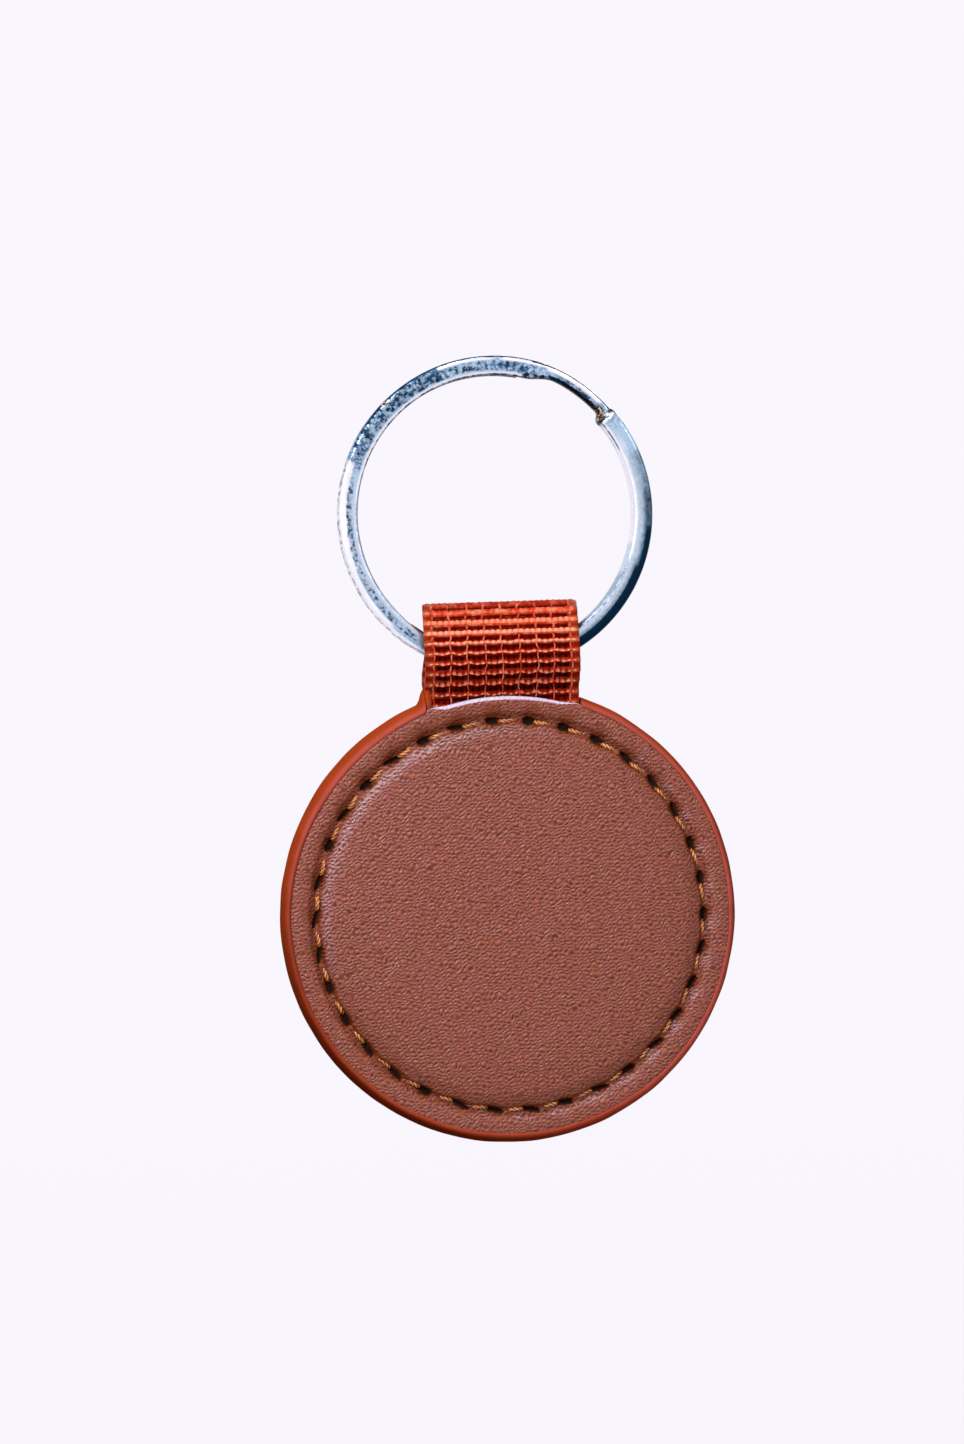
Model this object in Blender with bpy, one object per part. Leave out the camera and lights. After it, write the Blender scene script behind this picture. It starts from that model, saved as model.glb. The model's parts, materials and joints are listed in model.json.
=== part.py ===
"""Loop keychain: a round stitched fob on a folded webbing loop and a split ring.

The keychain hangs from the inside top of its split ring, which is the origin.
+Z is up, +X is to the right of the fob's padded front, and the front faces -Y.
"""
from math import asin, cos, hypot, pi, radians, sin, sqrt

import bmesh
import bpy
from mathutils import Matrix, Vector

MM = 0.001

# Split ring, wound twice from flat wire
RING_OUTER_DIAMETER = 30.0 * MM
WIRE_WIDTH = 2.0 * MM
WIRE_THICKNESS = 1.0 * MM
WIRE_CORNER = 0.22 * MM
TURN_GAP = 0.45 * MM
JOG_START = radians(21.0)
JOG_SPAN = radians(25.0)
JOG_WIRE_WIDTH = 1.4 * MM
CUT_END_CLEARANCE = radians(3.0)
RING_STEP = radians(5.0)

# Webbing strap, folded through the ring
STRAP_WIDTH = 14.8 * MM
STRAP_THICKNESS = 1.05 * MM
SELVEDGE_ROUNDING = 0.3 * MM
BORE_CLEARANCE = 0.15 * MM
FOLD_INNER_RADIUS = 1.475 * MM
FOLD_SLACK = 0.9 * MM
FLEX_LINE_DROP = 0.95 * MM
TAIL_LENGTH = 9.0 * MM

# Leather fob: two round panels, a pad and a core, sewn through and edge painted
PANEL_DIAMETER = 42.0 * MM
PANEL_THICKNESS = 1.0 * MM
PANEL_EDGE_ROUNDING = 0.4 * MM
MARGIN_PUFF = 0.12 * MM
MOUTH_DROP = 0.6 * MM
PAD_THICKNESS = 0.6 * MM
PAD_EDGE_THICKNESS = 0.24 * MM
PAINT_THICKNESS = 0.5 * MM
PAINT_LIP_HEIGHT = 1.25 * MM
PAINT_LIP_LENGTH = 1.8 * MM

# Seam
SEAM_INSET = 2.5 * MM
STITCH_COUNT = 34
FIRST_STITCH_ANGLE = radians(7.3)
THREAD_DIAMETER = 0.4 * MM
THREAD_CLEARANCE = 0.14 * MM
NEEDLE_HOLE_HALF_LENGTH = 0.9 * MM
GROOVE_SHOULDER = 0.45 * MM

# Gap left between pieces that touch on the real keychain
SEAT_GAP = 0.25 * MM

# Facets
FOB_SEGMENTS = 2 * STITCH_COUNT
HIDDEN_SEGMENTS = 44
ARC_STEP = radians(15.0)
SMOOTH_ANGLE = radians(35.0)

# Ring, worked out
RING_OUTER_RADIUS = RING_OUTER_DIAMETER / 2
RING_INNER_RADIUS = RING_OUTER_RADIUS - WIRE_WIDTH
RING_CENTRE_Z = -RING_INNER_RADIUS
TURN_PITCH = WIRE_THICKNESS + TURN_GAP
RING_HALF_THICKNESS = TURN_PITCH / 2 + WIRE_THICKNESS / 2

# Strap, worked out: the bore clears the ring's wire at every angle of swing
STRAP_HALF_WIDTH = STRAP_WIDTH / 2
RING_INNER_AT_SELVEDGE = sqrt(RING_INNER_RADIUS ** 2 - STRAP_HALF_WIDTH ** 2)
WIRE_HALF_HEIGHT = (RING_OUTER_RADIUS - RING_INNER_AT_SELVEDGE) / 2
BORE_Z = RING_CENTRE_Z - RING_INNER_AT_SELVEDGE - WIRE_HALF_HEIGHT
BORE_RADIUS = hypot(WIRE_HALF_HEIGHT, RING_HALF_THICKNESS) + BORE_CLEARANCE
PLY_CENTRE = SEAT_GAP / 2 + STRAP_THICKNESS / 2
CORE_HALF_THICKNESS = SEAT_GAP / 2 + STRAP_THICKNESS
FLEX_Z = BORE_Z - BORE_RADIUS - FLEX_LINE_DROP

# Fob, worked out
PANEL_RADIUS = PANEL_DIAMETER / 2
FOB_CENTRE_Z = FLEX_Z - MOUTH_DROP - PANEL_RADIUS
PANEL_INNER_FACE = CORE_HALF_THICKNESS + SEAT_GAP
PANEL_OUTER_FACE = PANEL_INNER_FACE + PANEL_THICKNESS
SEAM_RADIUS = PANEL_RADIUS - SEAM_INSET
STITCH_PITCH = 2 * pi / STITCH_COUNT
THREAD_RADIUS = THREAD_DIAMETER / 2
GROOVE_DEPTH = THREAD_DIAMETER + THREAD_CLEARANCE
GROOVE_FLOOR = PANEL_OUTER_FACE - GROOVE_DEPTH
GROOVE_HALF_FLOOR = THREAD_RADIUS + THREAD_CLEARANCE
NEEDLE_HOLE_HALF_WIDTH = THREAD_RADIUS + THREAD_CLEARANCE
PAD_RADIUS = SEAM_RADIUS - GROOVE_HALF_FLOOR - GROOVE_SHOULDER - 2 * SEAT_GAP
TAIL_END_Z = PANEL_RADIUS - TAIL_LENGTH
CUTTER_DEPTH = 4 * PANEL_OUTER_FACE


def clear_scene():
    for leftover in list(bpy.data.objects):
        bpy.data.objects.remove(leftover, do_unlink=True)


def make_material(name, colour, roughness, metallic=0.0):
    material = bpy.data.materials.new(name)
    material.use_nodes = True
    shader = material.node_tree.nodes["Principled BSDF"]
    shader.inputs["Base Color"].default_value = (*colour, 1.0)
    shader.inputs["Roughness"].default_value = roughness
    shader.inputs["Metallic"].default_value = metallic
    material.diffuse_color = (*colour, 1.0)
    return material


def add_empty(name, location, parent=None):
    empty = bpy.data.objects.new(name, None)
    empty.location = location
    empty.empty_display_size = 5 * MM
    empty.parent = parent
    bpy.context.collection.objects.link(empty)
    return empty


def add_object(name, data, material, location=(0, 0, 0), parent=None):
    piece = bpy.data.objects.new(name, data)
    piece.location = location
    piece.parent = parent
    if material is not None:
        data.materials.append(material)
    bpy.context.collection.objects.link(piece)
    return piece


def mesh_from(bm, name):
    """Turn a bmesh into a smooth shaded mesh with sharp edges kept."""
    bmesh.ops.recalc_face_normals(bm, faces=bm.faces)
    mesh = bpy.data.meshes.new(name)
    bm.to_mesh(mesh)
    bm.free()
    mesh.shade_smooth()
    mesh.set_sharp_from_angle(angle=SMOOTH_ANGLE)
    return mesh


def add_chain(bm, points, closed=False):
    """Add points as vertices joined by edges, and return the vertices and edges."""
    verts = [bm.verts.new(point) for point in points]
    pairs = list(zip(verts, verts[1:]))
    if closed:
        pairs.append((verts[-1], verts[0]))
    edges = [bm.edges.new(pair) for pair in pairs]
    return verts, edges


def loft(sections):
    """Skin closed sections one after another and cap both ends."""
    bm = bmesh.new()
    previous = None
    for points in sections:
        _, edges = add_chain(bm, points, closed=True)
        if previous:
            bmesh.ops.bridge_loops(bm, edges=previous + edges)
        previous = edges
    bmesh.ops.holes_fill(bm, edges=bm.edges, sides=0)
    return bm


def turn(profile, steps=FOB_SEGMENTS):
    """Turn (radius, y) points about the fob's axis, from axis to axis."""
    bm = bmesh.new()
    verts, edges = add_chain(bm, [(radius, y, 0.0) for radius, y in profile])
    bmesh.ops.spin(
        bm, geom=verts + edges, cent=(0, 0, 0), axis=(0, 1, 0),
        angle=2 * pi, steps=steps, use_merge=True,
    )
    bmesh.ops.remove_doubles(bm, verts=bm.verts, dist=SEAT_GAP / 1000)
    return bm


def extrude_across(outline, half_width):
    """Extrude a closed (y, z) outline along X, centred on X = 0."""
    bm = bmesh.new()
    verts = [bm.verts.new((-half_width, y, z)) for y, z in outline]
    face = bm.faces.new(verts)
    grown = bmesh.ops.extrude_face_region(bm, geom=[face], use_keep_orig=True)
    moved = [item for item in grown["geom"] if isinstance(item, bmesh.types.BMVert)]
    bmesh.ops.translate(bm, verts=moved, vec=(2 * half_width, 0, 0))
    return bm


def add_cutter(name, mesh, location, parent):
    cutter = add_object(name, mesh, None, location, parent)
    cutter.hide_render = True
    cutter.display_type = "WIRE"
    return cutter


def cut(piece, cutter):
    modifier = piece.modifiers.new(cutter.name, "BOOLEAN")
    modifier.operation = "DIFFERENCE"
    modifier.solver = "EXACT"
    modifier.object = cutter


def ease(value):
    """Smooth step from 0 to 1."""
    value = min(max(value, 0.0), 1.0)
    return value * value * (3 - 2 * value)


def wire_section(angle):
    """Rounded section of the ring's wire at a running angle, clockwise from the top."""
    along_jog = (angle - (JOG_START + 2 * pi)) / JOG_SPAN
    y = (ease(along_jog) - 0.5) * TURN_PITCH
    pinch = sin(pi * min(max(along_jog, 0.0), 1.0)) ** 2
    width = WIRE_WIDTH + (JOG_WIRE_WIDTH - WIRE_WIDTH) * pinch
    half_wide = width / 2
    half_thick = WIRE_THICKNESS / 2
    corner = min(WIRE_CORNER, 0.45 * width, 0.45 * WIRE_THICKNESS)
    middle = RING_OUTER_RADIUS - half_wide
    outline = [
        (half_wide, half_thick - corner), (half_wide - corner, half_thick),
        (corner - half_wide, half_thick), (-half_wide, half_thick - corner),
        (-half_wide, corner - half_thick), (corner - half_wide, -half_thick),
        (half_wide - corner, -half_thick), (half_wide, corner - half_thick),
    ]
    return [
        ((middle + dr) * sin(angle), y + dy, (middle + dr) * cos(angle))
        for dr, dy in outline
    ]


def ring_angles():
    """Running angles of the wire, from the front cut end round twice to the rear one."""
    jog_start = JOG_START + 2 * pi
    jog_end = jog_start + JOG_SPAN
    front_end = JOG_START + JOG_SPAN + CUT_END_CLEARANCE
    rear_end = JOG_START + 4 * pi - CUT_END_CLEARANCE
    stops = [front_end, jog_start, jog_end, rear_end]
    angles = [front_end]
    for low, high in zip(stops, stops[1:]):
        step = RING_STEP if high - low > JOG_SPAN * 1.01 else RING_STEP / 2
        count = max(1, round((high - low) / step))
        angles += [low + (high - low) * (index + 1) / count for index in range(count)]
    return angles


def least_turn_gap(angles):
    """Least distance between points of the wire and of the turn stacked behind it."""
    least = RING_OUTER_DIAMETER
    for angle in angles:
        behind = angle + 2 * pi
        if behind <= angles[-1]:
            for point in wire_section(angle):
                for other in wire_section(behind):
                    least = min(least, (Vector(point) - Vector(other)).length)
    return least


def build_split_ring(material):
    angles = ring_angles()
    sections = [wire_section(angle) for angle in angles]
    gap = least_turn_gap(angles)
    print("split ring, least gap between its turns in mm:", round(gap / MM, 3))
    mesh = mesh_from(loft(sections), "split_ring")
    return add_object("split_ring", mesh, material, (0, 0, RING_CENTRE_Z))


def arc(centre_z, radius, start, stop):
    """Points on an arc in the YZ plane; angles run from +Z towards +Y."""
    count = max(2, round(abs(stop - start) / ARC_STEP))
    steps = [start + (stop - start) * index / count for index in range(count + 1)]
    return [(radius * sin(angle), centre_z + radius * cos(angle)) for angle in steps]


def strap_side(offset):
    """One side of the strap's face, from the fold's top down to the flex line.

    offset is 0 on the strap's centre, and plus or minus half its thickness on its faces.
    """
    fold_radius = FOLD_INNER_RADIUS + STRAP_THICKNESS / 2
    belly_radius = BORE_RADIUS + STRAP_THICKNESS / 2
    fold_z = BORE_RADIUS + FOLD_SLACK - FOLD_INNER_RADIUS
    upper_slope = asin(min((belly_radius - fold_radius) / fold_z, 0.98))
    flex_drop = BORE_RADIUS + FLEX_LINE_DROP
    lower_slope = asin((belly_radius - PLY_CENTRE) / flex_drop)
    points = arc(fold_z, fold_radius + offset, 0.0, pi / 2 - upper_slope)
    points += arc(0.0, belly_radius + offset, pi / 2 - upper_slope, pi / 2 + lower_slope)
    end_distance = CORE_HALF_THICKNESS + SEAT_GAP
    along = Vector((sin(lower_slope), cos(lower_slope)))
    outward = Vector((cos(lower_slope), -sin(lower_slope)))
    foot = Vector((0.0, -flex_drop)) + along * end_distance
    belly_offset = belly_radius - flex_drop * sin(lower_slope)
    points.append(tuple(foot + outward * (belly_offset + offset)))
    return points


def build_webbing_loop(material, swing_axis):
    half = STRAP_THICKNESS / 2
    outer = strap_side(half)
    inner = strap_side(-half)
    outline = [(-y, z) for y, z in reversed(outer)] + outer[1:]
    outline += list(reversed(inner)) + [(-y, z) for y, z in inner[1:]]
    bm = extrude_across(outline, STRAP_HALF_WIDTH)
    selvedges = [
        edge for edge in bm.edges
        if abs(edge.verts[0].co.x - edge.verts[1].co.x) < STRAP_HALF_WIDTH
    ]
    bmesh.ops.bevel(
        bm, geom=selvedges, offset=SELVEDGE_ROUNDING, segments=1, profile=0.5,
        affect="EDGES", clamp_overlap=True, material=-1,
    )
    mesh = mesh_from(bm, "webbing_loop")
    return add_object("webbing_loop", mesh, material, parent=swing_axis)


def build_webbing_tail(name, side, material, fob_place):
    """One end of the strap inside the fob, with a rounded nose on the flex line."""
    flex_z = PANEL_RADIUS + MOUTH_DROP
    inner_y = SEAT_GAP / 2
    nose_start = asin(inner_y / CORE_HALF_THICKNESS)
    nose = arc(flex_z, CORE_HALF_THICKNESS, nose_start, pi / 2)
    outline = nose + [(CORE_HALF_THICKNESS, TAIL_END_Z), (inner_y, TAIL_END_Z)]
    outline = [(side * y, z) for y, z in outline]
    mesh = mesh_from(extrude_across(outline, STRAP_HALF_WIDTH), name)
    return add_object(name, mesh, material, **fob_place)


def pad_height(radius):
    """Thickness of the crowned pad at a radius."""
    share = min(radius / PAD_RADIUS, 1.0)
    return PAD_THICKNESS + (PAD_EDGE_THICKNESS - PAD_THICKNESS) * share ** 3


PAD_SAMPLES = [0.0, 0.3, 0.55, 0.75, 0.9, 1.0]


def build_foam_pad(material, fob_place):
    back = PANEL_INNER_FACE
    profile = [(share * PAD_RADIUS, -back - pad_height(share * PAD_RADIUS))
               for share in PAD_SAMPLES]
    profile += [(PAD_RADIUS, -back), (0.0, -back)]
    mesh = mesh_from(turn(profile, HIDDEN_SEGMENTS), "foam_pad")
    return add_object("foam_pad", mesh, material, **fob_place)


def groove_profile(outer_start):
    """Face heights across the seam's groove, from its inner lip to the panel's edge."""
    lip = GROOVE_HALF_FLOOR + GROOVE_SHOULDER
    margin_middle = (SEAM_RADIUS + lip + PANEL_RADIUS) / 2
    rounding = min(PANEL_EDGE_ROUNDING, 0.45 * PANEL_THICKNESS)
    return [
        (SEAM_RADIUS - lip, outer_start),
        (SEAM_RADIUS - GROOVE_HALF_FLOOR, GROOVE_FLOOR),
        (SEAM_RADIUS + GROOVE_HALF_FLOOR, GROOVE_FLOOR),
        (SEAM_RADIUS + lip, PANEL_OUTER_FACE),
        (margin_middle, None),
        (PANEL_RADIUS - rounding, PANEL_OUTER_FACE),
        (PANEL_RADIUS - 0.3 * rounding, PANEL_OUTER_FACE - 0.3 * rounding),
        (PANEL_RADIUS, PANEL_OUTER_FACE - rounding),
        (PANEL_RADIUS, PANEL_INNER_FACE),
    ]


def build_front_panel(material, fob_place):
    """Crowned front panel: dome over the pad, sewn channel, puffed margin."""
    cover = PANEL_INNER_FACE + SEAT_GAP
    dome = [(share * PAD_RADIUS, cover + pad_height(share * PAD_RADIUS) + PANEL_THICKNESS)
            for share in PAD_SAMPLES]
    lip = PANEL_OUTER_FACE + 0.6 * (dome[-1][1] - PANEL_OUTER_FACE)
    rest = groove_profile(lip)
    rest = [(r, PANEL_OUTER_FACE + MARGIN_PUFF if h is None else h) for r, h in rest]
    recess = PAD_RADIUS + SEAT_GAP
    under = [(recess, PANEL_INNER_FACE), (recess, cover + PAD_EDGE_THICKNESS)]
    under += [(share * PAD_RADIUS, cover + pad_height(share * PAD_RADIUS))
              for share in reversed(PAD_SAMPLES[:-1])]
    profile = [(radius, -height) for radius, height in dome + rest + under]
    mesh = mesh_from(turn(profile), "front_panel")
    return add_object("front_panel", mesh, material, **fob_place)


def build_back_panel(material, fob_place):
    """Flat back panel with the same sewn channel, its face at PANEL_OUTER_FACE."""
    groove = groove_profile(PANEL_OUTER_FACE)
    groove = [(r, h) for r, h in groove if h is not None]
    profile = [(0.0, PANEL_OUTER_FACE)] + groove + [(0.0, PANEL_INNER_FACE)]
    mesh = mesh_from(turn(profile), "back_panel")
    return add_object("back_panel", mesh, material, **fob_place)


def build_core_board(material, fob_place, flex_axis):
    """Filler board between the panels, notched at the top for the strap's tails."""
    half = CORE_HALF_THICKNESS
    profile = [(0.0, -half), (PANEL_RADIUS, -half), (PANEL_RADIUS, half), (0.0, half)]
    mesh = mesh_from(turn(profile, HIDDEN_SEGMENTS), "core_board")
    board = add_object("core_board", mesh, material, **fob_place)
    low = TAIL_END_Z - SEAT_GAP
    high = PANEL_RADIUS + TAIL_LENGTH
    notch = [(-CUTTER_DEPTH, low), (CUTTER_DEPTH, low), (CUTTER_DEPTH, high), (-CUTTER_DEPTH, high)]
    notch_mesh = mesh_from(extrude_across(notch, STRAP_HALF_WIDTH + SEAT_GAP), "tail_notch")
    cut(board, add_cutter("tail_notch", notch_mesh, fob_place["location"], flex_axis))
    return board


def stitch_angles():
    return [FIRST_STITCH_ANGLE + index * STITCH_PITCH for index in range(STITCH_COUNT)]


def build_needle_holes(fob_place):
    """Slots for the seam, as one set of cutters through the whole fob."""
    long_half = NEEDLE_HOLE_HALF_LENGTH
    wide_half = NEEDLE_HOLE_HALF_WIDTH
    flat = long_half - 0.6 * wide_half
    slot = [(long_half, 0), (flat, wide_half), (-flat, wide_half),
            (-long_half, 0), (-flat, -wide_half), (flat, -wide_half)]
    bm = bmesh.new()
    for angle in stitch_angles():
        place = Matrix.Rotation(angle, 4, "Y") @ Matrix.Translation((0, 0, SEAM_RADIUS))
        verts = [bm.verts.new(place @ Vector((x, -CUTTER_DEPTH, z))) for x, z in slot]
        face = bm.faces.new(verts)
        grown = bmesh.ops.extrude_face_region(bm, geom=[face], use_keep_orig=True)
        moved = [item for item in grown["geom"] if isinstance(item, bmesh.types.BMVert)]
        bmesh.ops.translate(bm, verts=moved, vec=(0, 2 * CUTTER_DEPTH, 0))
    mesh = mesh_from(bm, "needle_holes")
    return add_cutter("needle_holes", mesh, fob_place["location"], fob_place["parent"])


def build_thread(name, side, material, fob_place):
    """Closed lockstitch thread: a dip into each needle hole, a float in the groove."""
    float_height = GROOVE_FLOOR + THREAD_CLEARANCE + THREAD_RADIUS
    dip = THREAD_RADIUS + THREAD_CLEARANCE
    hole = NEEDLE_HOLE_HALF_LENGTH
    leg = 0.33 * hole
    knee = 0.68 * hole
    stations = [
        (0.0, dip), (leg, float_height - 0.55 * MM), (knee, float_height - 0.12 * MM),
        (hole, float_height), (STITCH_PITCH * SEAM_RADIUS - hole, float_height),
        (STITCH_PITCH * SEAM_RADIUS - knee, float_height - 0.12 * MM),
        (STITCH_PITCH * SEAM_RADIUS - leg, float_height - 0.55 * MM),
    ]
    curve = bpy.data.curves.new(name, "CURVE")
    curve.dimensions = "3D"
    curve.bevel_depth = THREAD_RADIUS
    curve.bevel_resolution = 1
    spline = curve.splines.new("POLY")
    places = [
        (angle + along / SEAM_RADIUS, side * height)
        for angle in stitch_angles() for along, height in stations
    ]
    spline.points.add(len(places) - 1)
    for point, (angle, y) in zip(spline.points, places):
        point.co = (SEAM_RADIUS * sin(angle), y, SEAM_RADIUS * cos(angle), 1.0)
    spline.use_cyclic_u = True
    return add_object(name, curve, material, **fob_place)


def paint_section(angle, lip):
    """Section of the edge paint at an angle; lip is 0 on the plain edge, 1 at its peak."""
    inner = PANEL_RADIUS + SEAT_GAP
    half = PANEL_OUTER_FACE - 0.3 * PANEL_EDGE_ROUNDING
    shares = [-1.0, -0.9, -0.6, 0.0, 0.6, 0.9, 1.0]
    points = [(inner, -half), (inner, half)]
    for share in reversed(shares):
        bulge = PAINT_THICKNESS * (0.35 + 0.65 * (1 - abs(share) ** 4))
        rise = lip * PAINT_LIP_HEIGHT * cos(share * pi / 2) ** 2
        points.append((inner + bulge + rise, share * half))
    return [place_on_edge(angle, radius, y) for radius, y in points]


def place_on_edge(angle, radius, y):
    """Point at a radius and angle, kept off the strap's selvedge at the mouth."""
    limit = STRAP_HALF_WIDTH + SEAT_GAP
    x = radius * sin(angle)
    z = radius * cos(angle)
    if z > 0 and abs(x) < limit:
        x = limit if x > 0 else -limit
        z = sqrt(radius ** 2 - limit ** 2)
    return (x, y, z)


def build_edge_paint(material, fob_place):
    """Painted edge round the panels and core, open where the strap comes out."""
    inner = PANEL_RADIUS + SEAT_GAP
    start = asin((STRAP_HALF_WIDTH + SEAT_GAP) / (inner + PAINT_THICKNESS + PAINT_LIP_HEIGHT))
    step = 2 * pi / FOB_SEGMENTS
    count = round((2 * pi - 2 * start) / step)
    span = 2 * pi - 2 * start
    sections = []
    for index in range(count + 1):
        angle = start + span * index / count
        from_left_end = (start + span - angle) * inner
        lip = ease(1 - from_left_end / PAINT_LIP_LENGTH)
        sections.append(paint_section(angle, lip))
    mesh = mesh_from(loft(sections), "edge_paint")
    return add_object("edge_paint", mesh, material, **fob_place)


def main():
    clear_scene()
    steel = make_material("nickel_steel", (0.62, 0.66, 0.70), 0.25, 1.0)
    webbing = make_material("rust_webbing", (0.45, 0.06, 0.03), 0.6)
    leather = make_material("brown_leather", (0.26, 0.09, 0.06), 0.5)
    paint = make_material("edge_paint", (0.42, 0.07, 0.02), 0.4)
    thread = make_material("amber_thread", (0.48, 0.17, 0.04), 0.55)
    foam = make_material("pale_foam", (0.75, 0.72, 0.66), 0.9)
    board = make_material("fibre_board", (0.35, 0.26, 0.18), 0.85)

    swing_axis = add_empty("loop_swing_axis", (0, 0, BORE_Z))
    flex_axis = add_empty("strap_flex_axis", (0, 0, FLEX_Z - BORE_Z), swing_axis)
    fob_place = {"location": (0, 0, FOB_CENTRE_Z - FLEX_Z), "parent": flex_axis}

    build_split_ring(steel)
    build_webbing_loop(webbing, swing_axis)
    sewn = [
        build_webbing_tail("webbing_tail_front", -1, webbing, fob_place),
        build_webbing_tail("webbing_tail_rear", 1, webbing, fob_place),
        build_front_panel(leather, fob_place),
        build_back_panel(leather, fob_place),
        build_core_board(board, fob_place, flex_axis),
    ]
    needle_holes = build_needle_holes(fob_place)
    for piece in sewn:
        cut(piece, needle_holes)
    build_foam_pad(foam, fob_place)
    build_thread("needle_thread", -1, thread, fob_place)
    build_thread("bobbin_thread", 1, thread, fob_place)
    build_edge_paint(paint, fob_place)

    bpy.context.view_layer.update()
    print("loop swing axis z in mm:", round(BORE_Z / MM, 4))
    print("strap flex axis z in mm:", round(FLEX_Z / MM, 4))
    print("fob centre z in mm:", round(FOB_CENTRE_Z / MM, 4))
    print("bore radius in mm:", round(BORE_RADIUS / MM, 4))


main()
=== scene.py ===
"""Looks of a loop keychain: leather fob, sewn seam, webbing loop and split ring.

The packed CAD model is the fixed frame. Each operator below builds one piece, or one
group of like pieces, round it, and the stage operator adds the studio and the camera.
"""
import json
from math import acos, asin, atan2, ceil, cos, hypot, pi, radians, sin, sqrt

import bmesh
import bpy
import numpy as np
from bpy.props import FloatProperty, FloatVectorProperty, IntProperty, PointerProperty
from mathutils import Matrix, Vector, noise


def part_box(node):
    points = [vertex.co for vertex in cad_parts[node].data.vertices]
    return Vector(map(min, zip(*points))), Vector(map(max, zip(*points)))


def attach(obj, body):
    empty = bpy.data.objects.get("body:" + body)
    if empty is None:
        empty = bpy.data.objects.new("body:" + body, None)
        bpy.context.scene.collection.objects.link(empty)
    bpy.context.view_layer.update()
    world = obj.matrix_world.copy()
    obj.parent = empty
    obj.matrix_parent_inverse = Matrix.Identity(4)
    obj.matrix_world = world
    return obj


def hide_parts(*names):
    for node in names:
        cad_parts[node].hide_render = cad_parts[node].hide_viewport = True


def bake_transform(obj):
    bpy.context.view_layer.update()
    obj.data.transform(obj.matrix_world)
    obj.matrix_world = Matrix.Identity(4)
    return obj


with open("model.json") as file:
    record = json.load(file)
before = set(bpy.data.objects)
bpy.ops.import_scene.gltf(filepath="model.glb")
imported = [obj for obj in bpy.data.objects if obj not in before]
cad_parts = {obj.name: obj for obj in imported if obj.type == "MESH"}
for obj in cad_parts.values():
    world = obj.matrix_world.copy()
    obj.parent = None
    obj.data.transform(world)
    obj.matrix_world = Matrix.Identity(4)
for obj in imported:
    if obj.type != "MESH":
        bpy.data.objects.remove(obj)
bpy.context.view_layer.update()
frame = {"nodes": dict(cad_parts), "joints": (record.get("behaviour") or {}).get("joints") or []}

bl_info = {
    "name": "Loop Keychain Looks",
    "version": (1, 0, 0),
    "blender": (4, 5, 0),
    "location": "3D View > Sidebar > Keychain",
    "description": "Dresses a loop keychain's frame in leather, webbing, wire and thread",
    "category": "Object",
}

MM = 0.001


def joint_height(name):
    """Height of a joint's axis in the frame."""
    return next(joint["pos_m"][2] for joint in frame["joints"] if joint["name"] == name)


def linear(red, green, blue):
    """Linear colour of a screen colour given from 0 to 255."""
    shares = [value / 255 for value in (red, green, blue)]
    return tuple(s / 12.92 if s <= 0.04045 else ((s + 0.055) / 1.055) ** 2.4 for s in shares)


def ease(value):
    """Smooth step from 0 to 1."""
    value = min(max(value, 0.0), 1.0)
    return value * value * (3 - 2 * value)


def hump(value, middle, reach):
    """A soft hump of height 1."""
    return float(np.exp(-((value - middle) / reach) ** 2))


def length_setting(name, millimetres, description):
    """A length that can be set in the sidebar."""
    return FloatProperty(
        name=name, description=description, default=millimetres * MM, unit="LENGTH")


def angle_setting(name, degrees, description):
    """An angle that can be set in the sidebar."""
    return FloatProperty(
        name=name, description=description, default=radians(degrees), subtype="ANGLE")


def colour_setting(name, screen_colour, description):
    """A colour that can be set in the sidebar, given as a screen colour from 0 to 255."""
    return FloatVectorProperty(
        name=name, description=description, default=linear(*screen_colour),
        subtype="COLOR", size=3)


# Places taken from the frame
RING_LOW, RING_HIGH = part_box("split_ring")
RING_RADIUS = (RING_HIGH.z - RING_LOW.z) / 2
RING_CENTRE_Z = (RING_HIGH.z + RING_LOW.z) / 2
RING_THICKNESS = RING_HIGH.y - RING_LOW.y
LOOP_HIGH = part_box("webbing_loop")[1]
TAIL_LOW, TAIL_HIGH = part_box("webbing_tail_rear")
STRAP_HALF_WIDTH = TAIL_HIGH.x
STRAP_THICKNESS = TAIL_HIGH.y - TAIL_LOW.y
PLY_CENTRE = (TAIL_HIGH.y + TAIL_LOW.y) / 2
SWING_Z = joint_height("loop_swing")
FLEX_Z = joint_height("strap_flex")
PANEL_LOW, PANEL_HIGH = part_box("back_panel")
FOB_CENTRE_Z = (PANEL_LOW.z + PANEL_HIGH.z) / 2
PANEL_RADIUS = PANEL_HIGH.x
FACE = PANEL_HIGH.y
INNER_FACE = PANEL_LOW.y
CROWN_TOP = -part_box("front_panel")[0].y
PAD_LOW, PAD_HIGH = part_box("foam_pad")
PAD_RADIUS = PAD_HIGH.x
PAINT_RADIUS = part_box("edge_paint")[1].x
THREAD_LOW, THREAD_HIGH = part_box("bobbin_thread")


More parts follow.
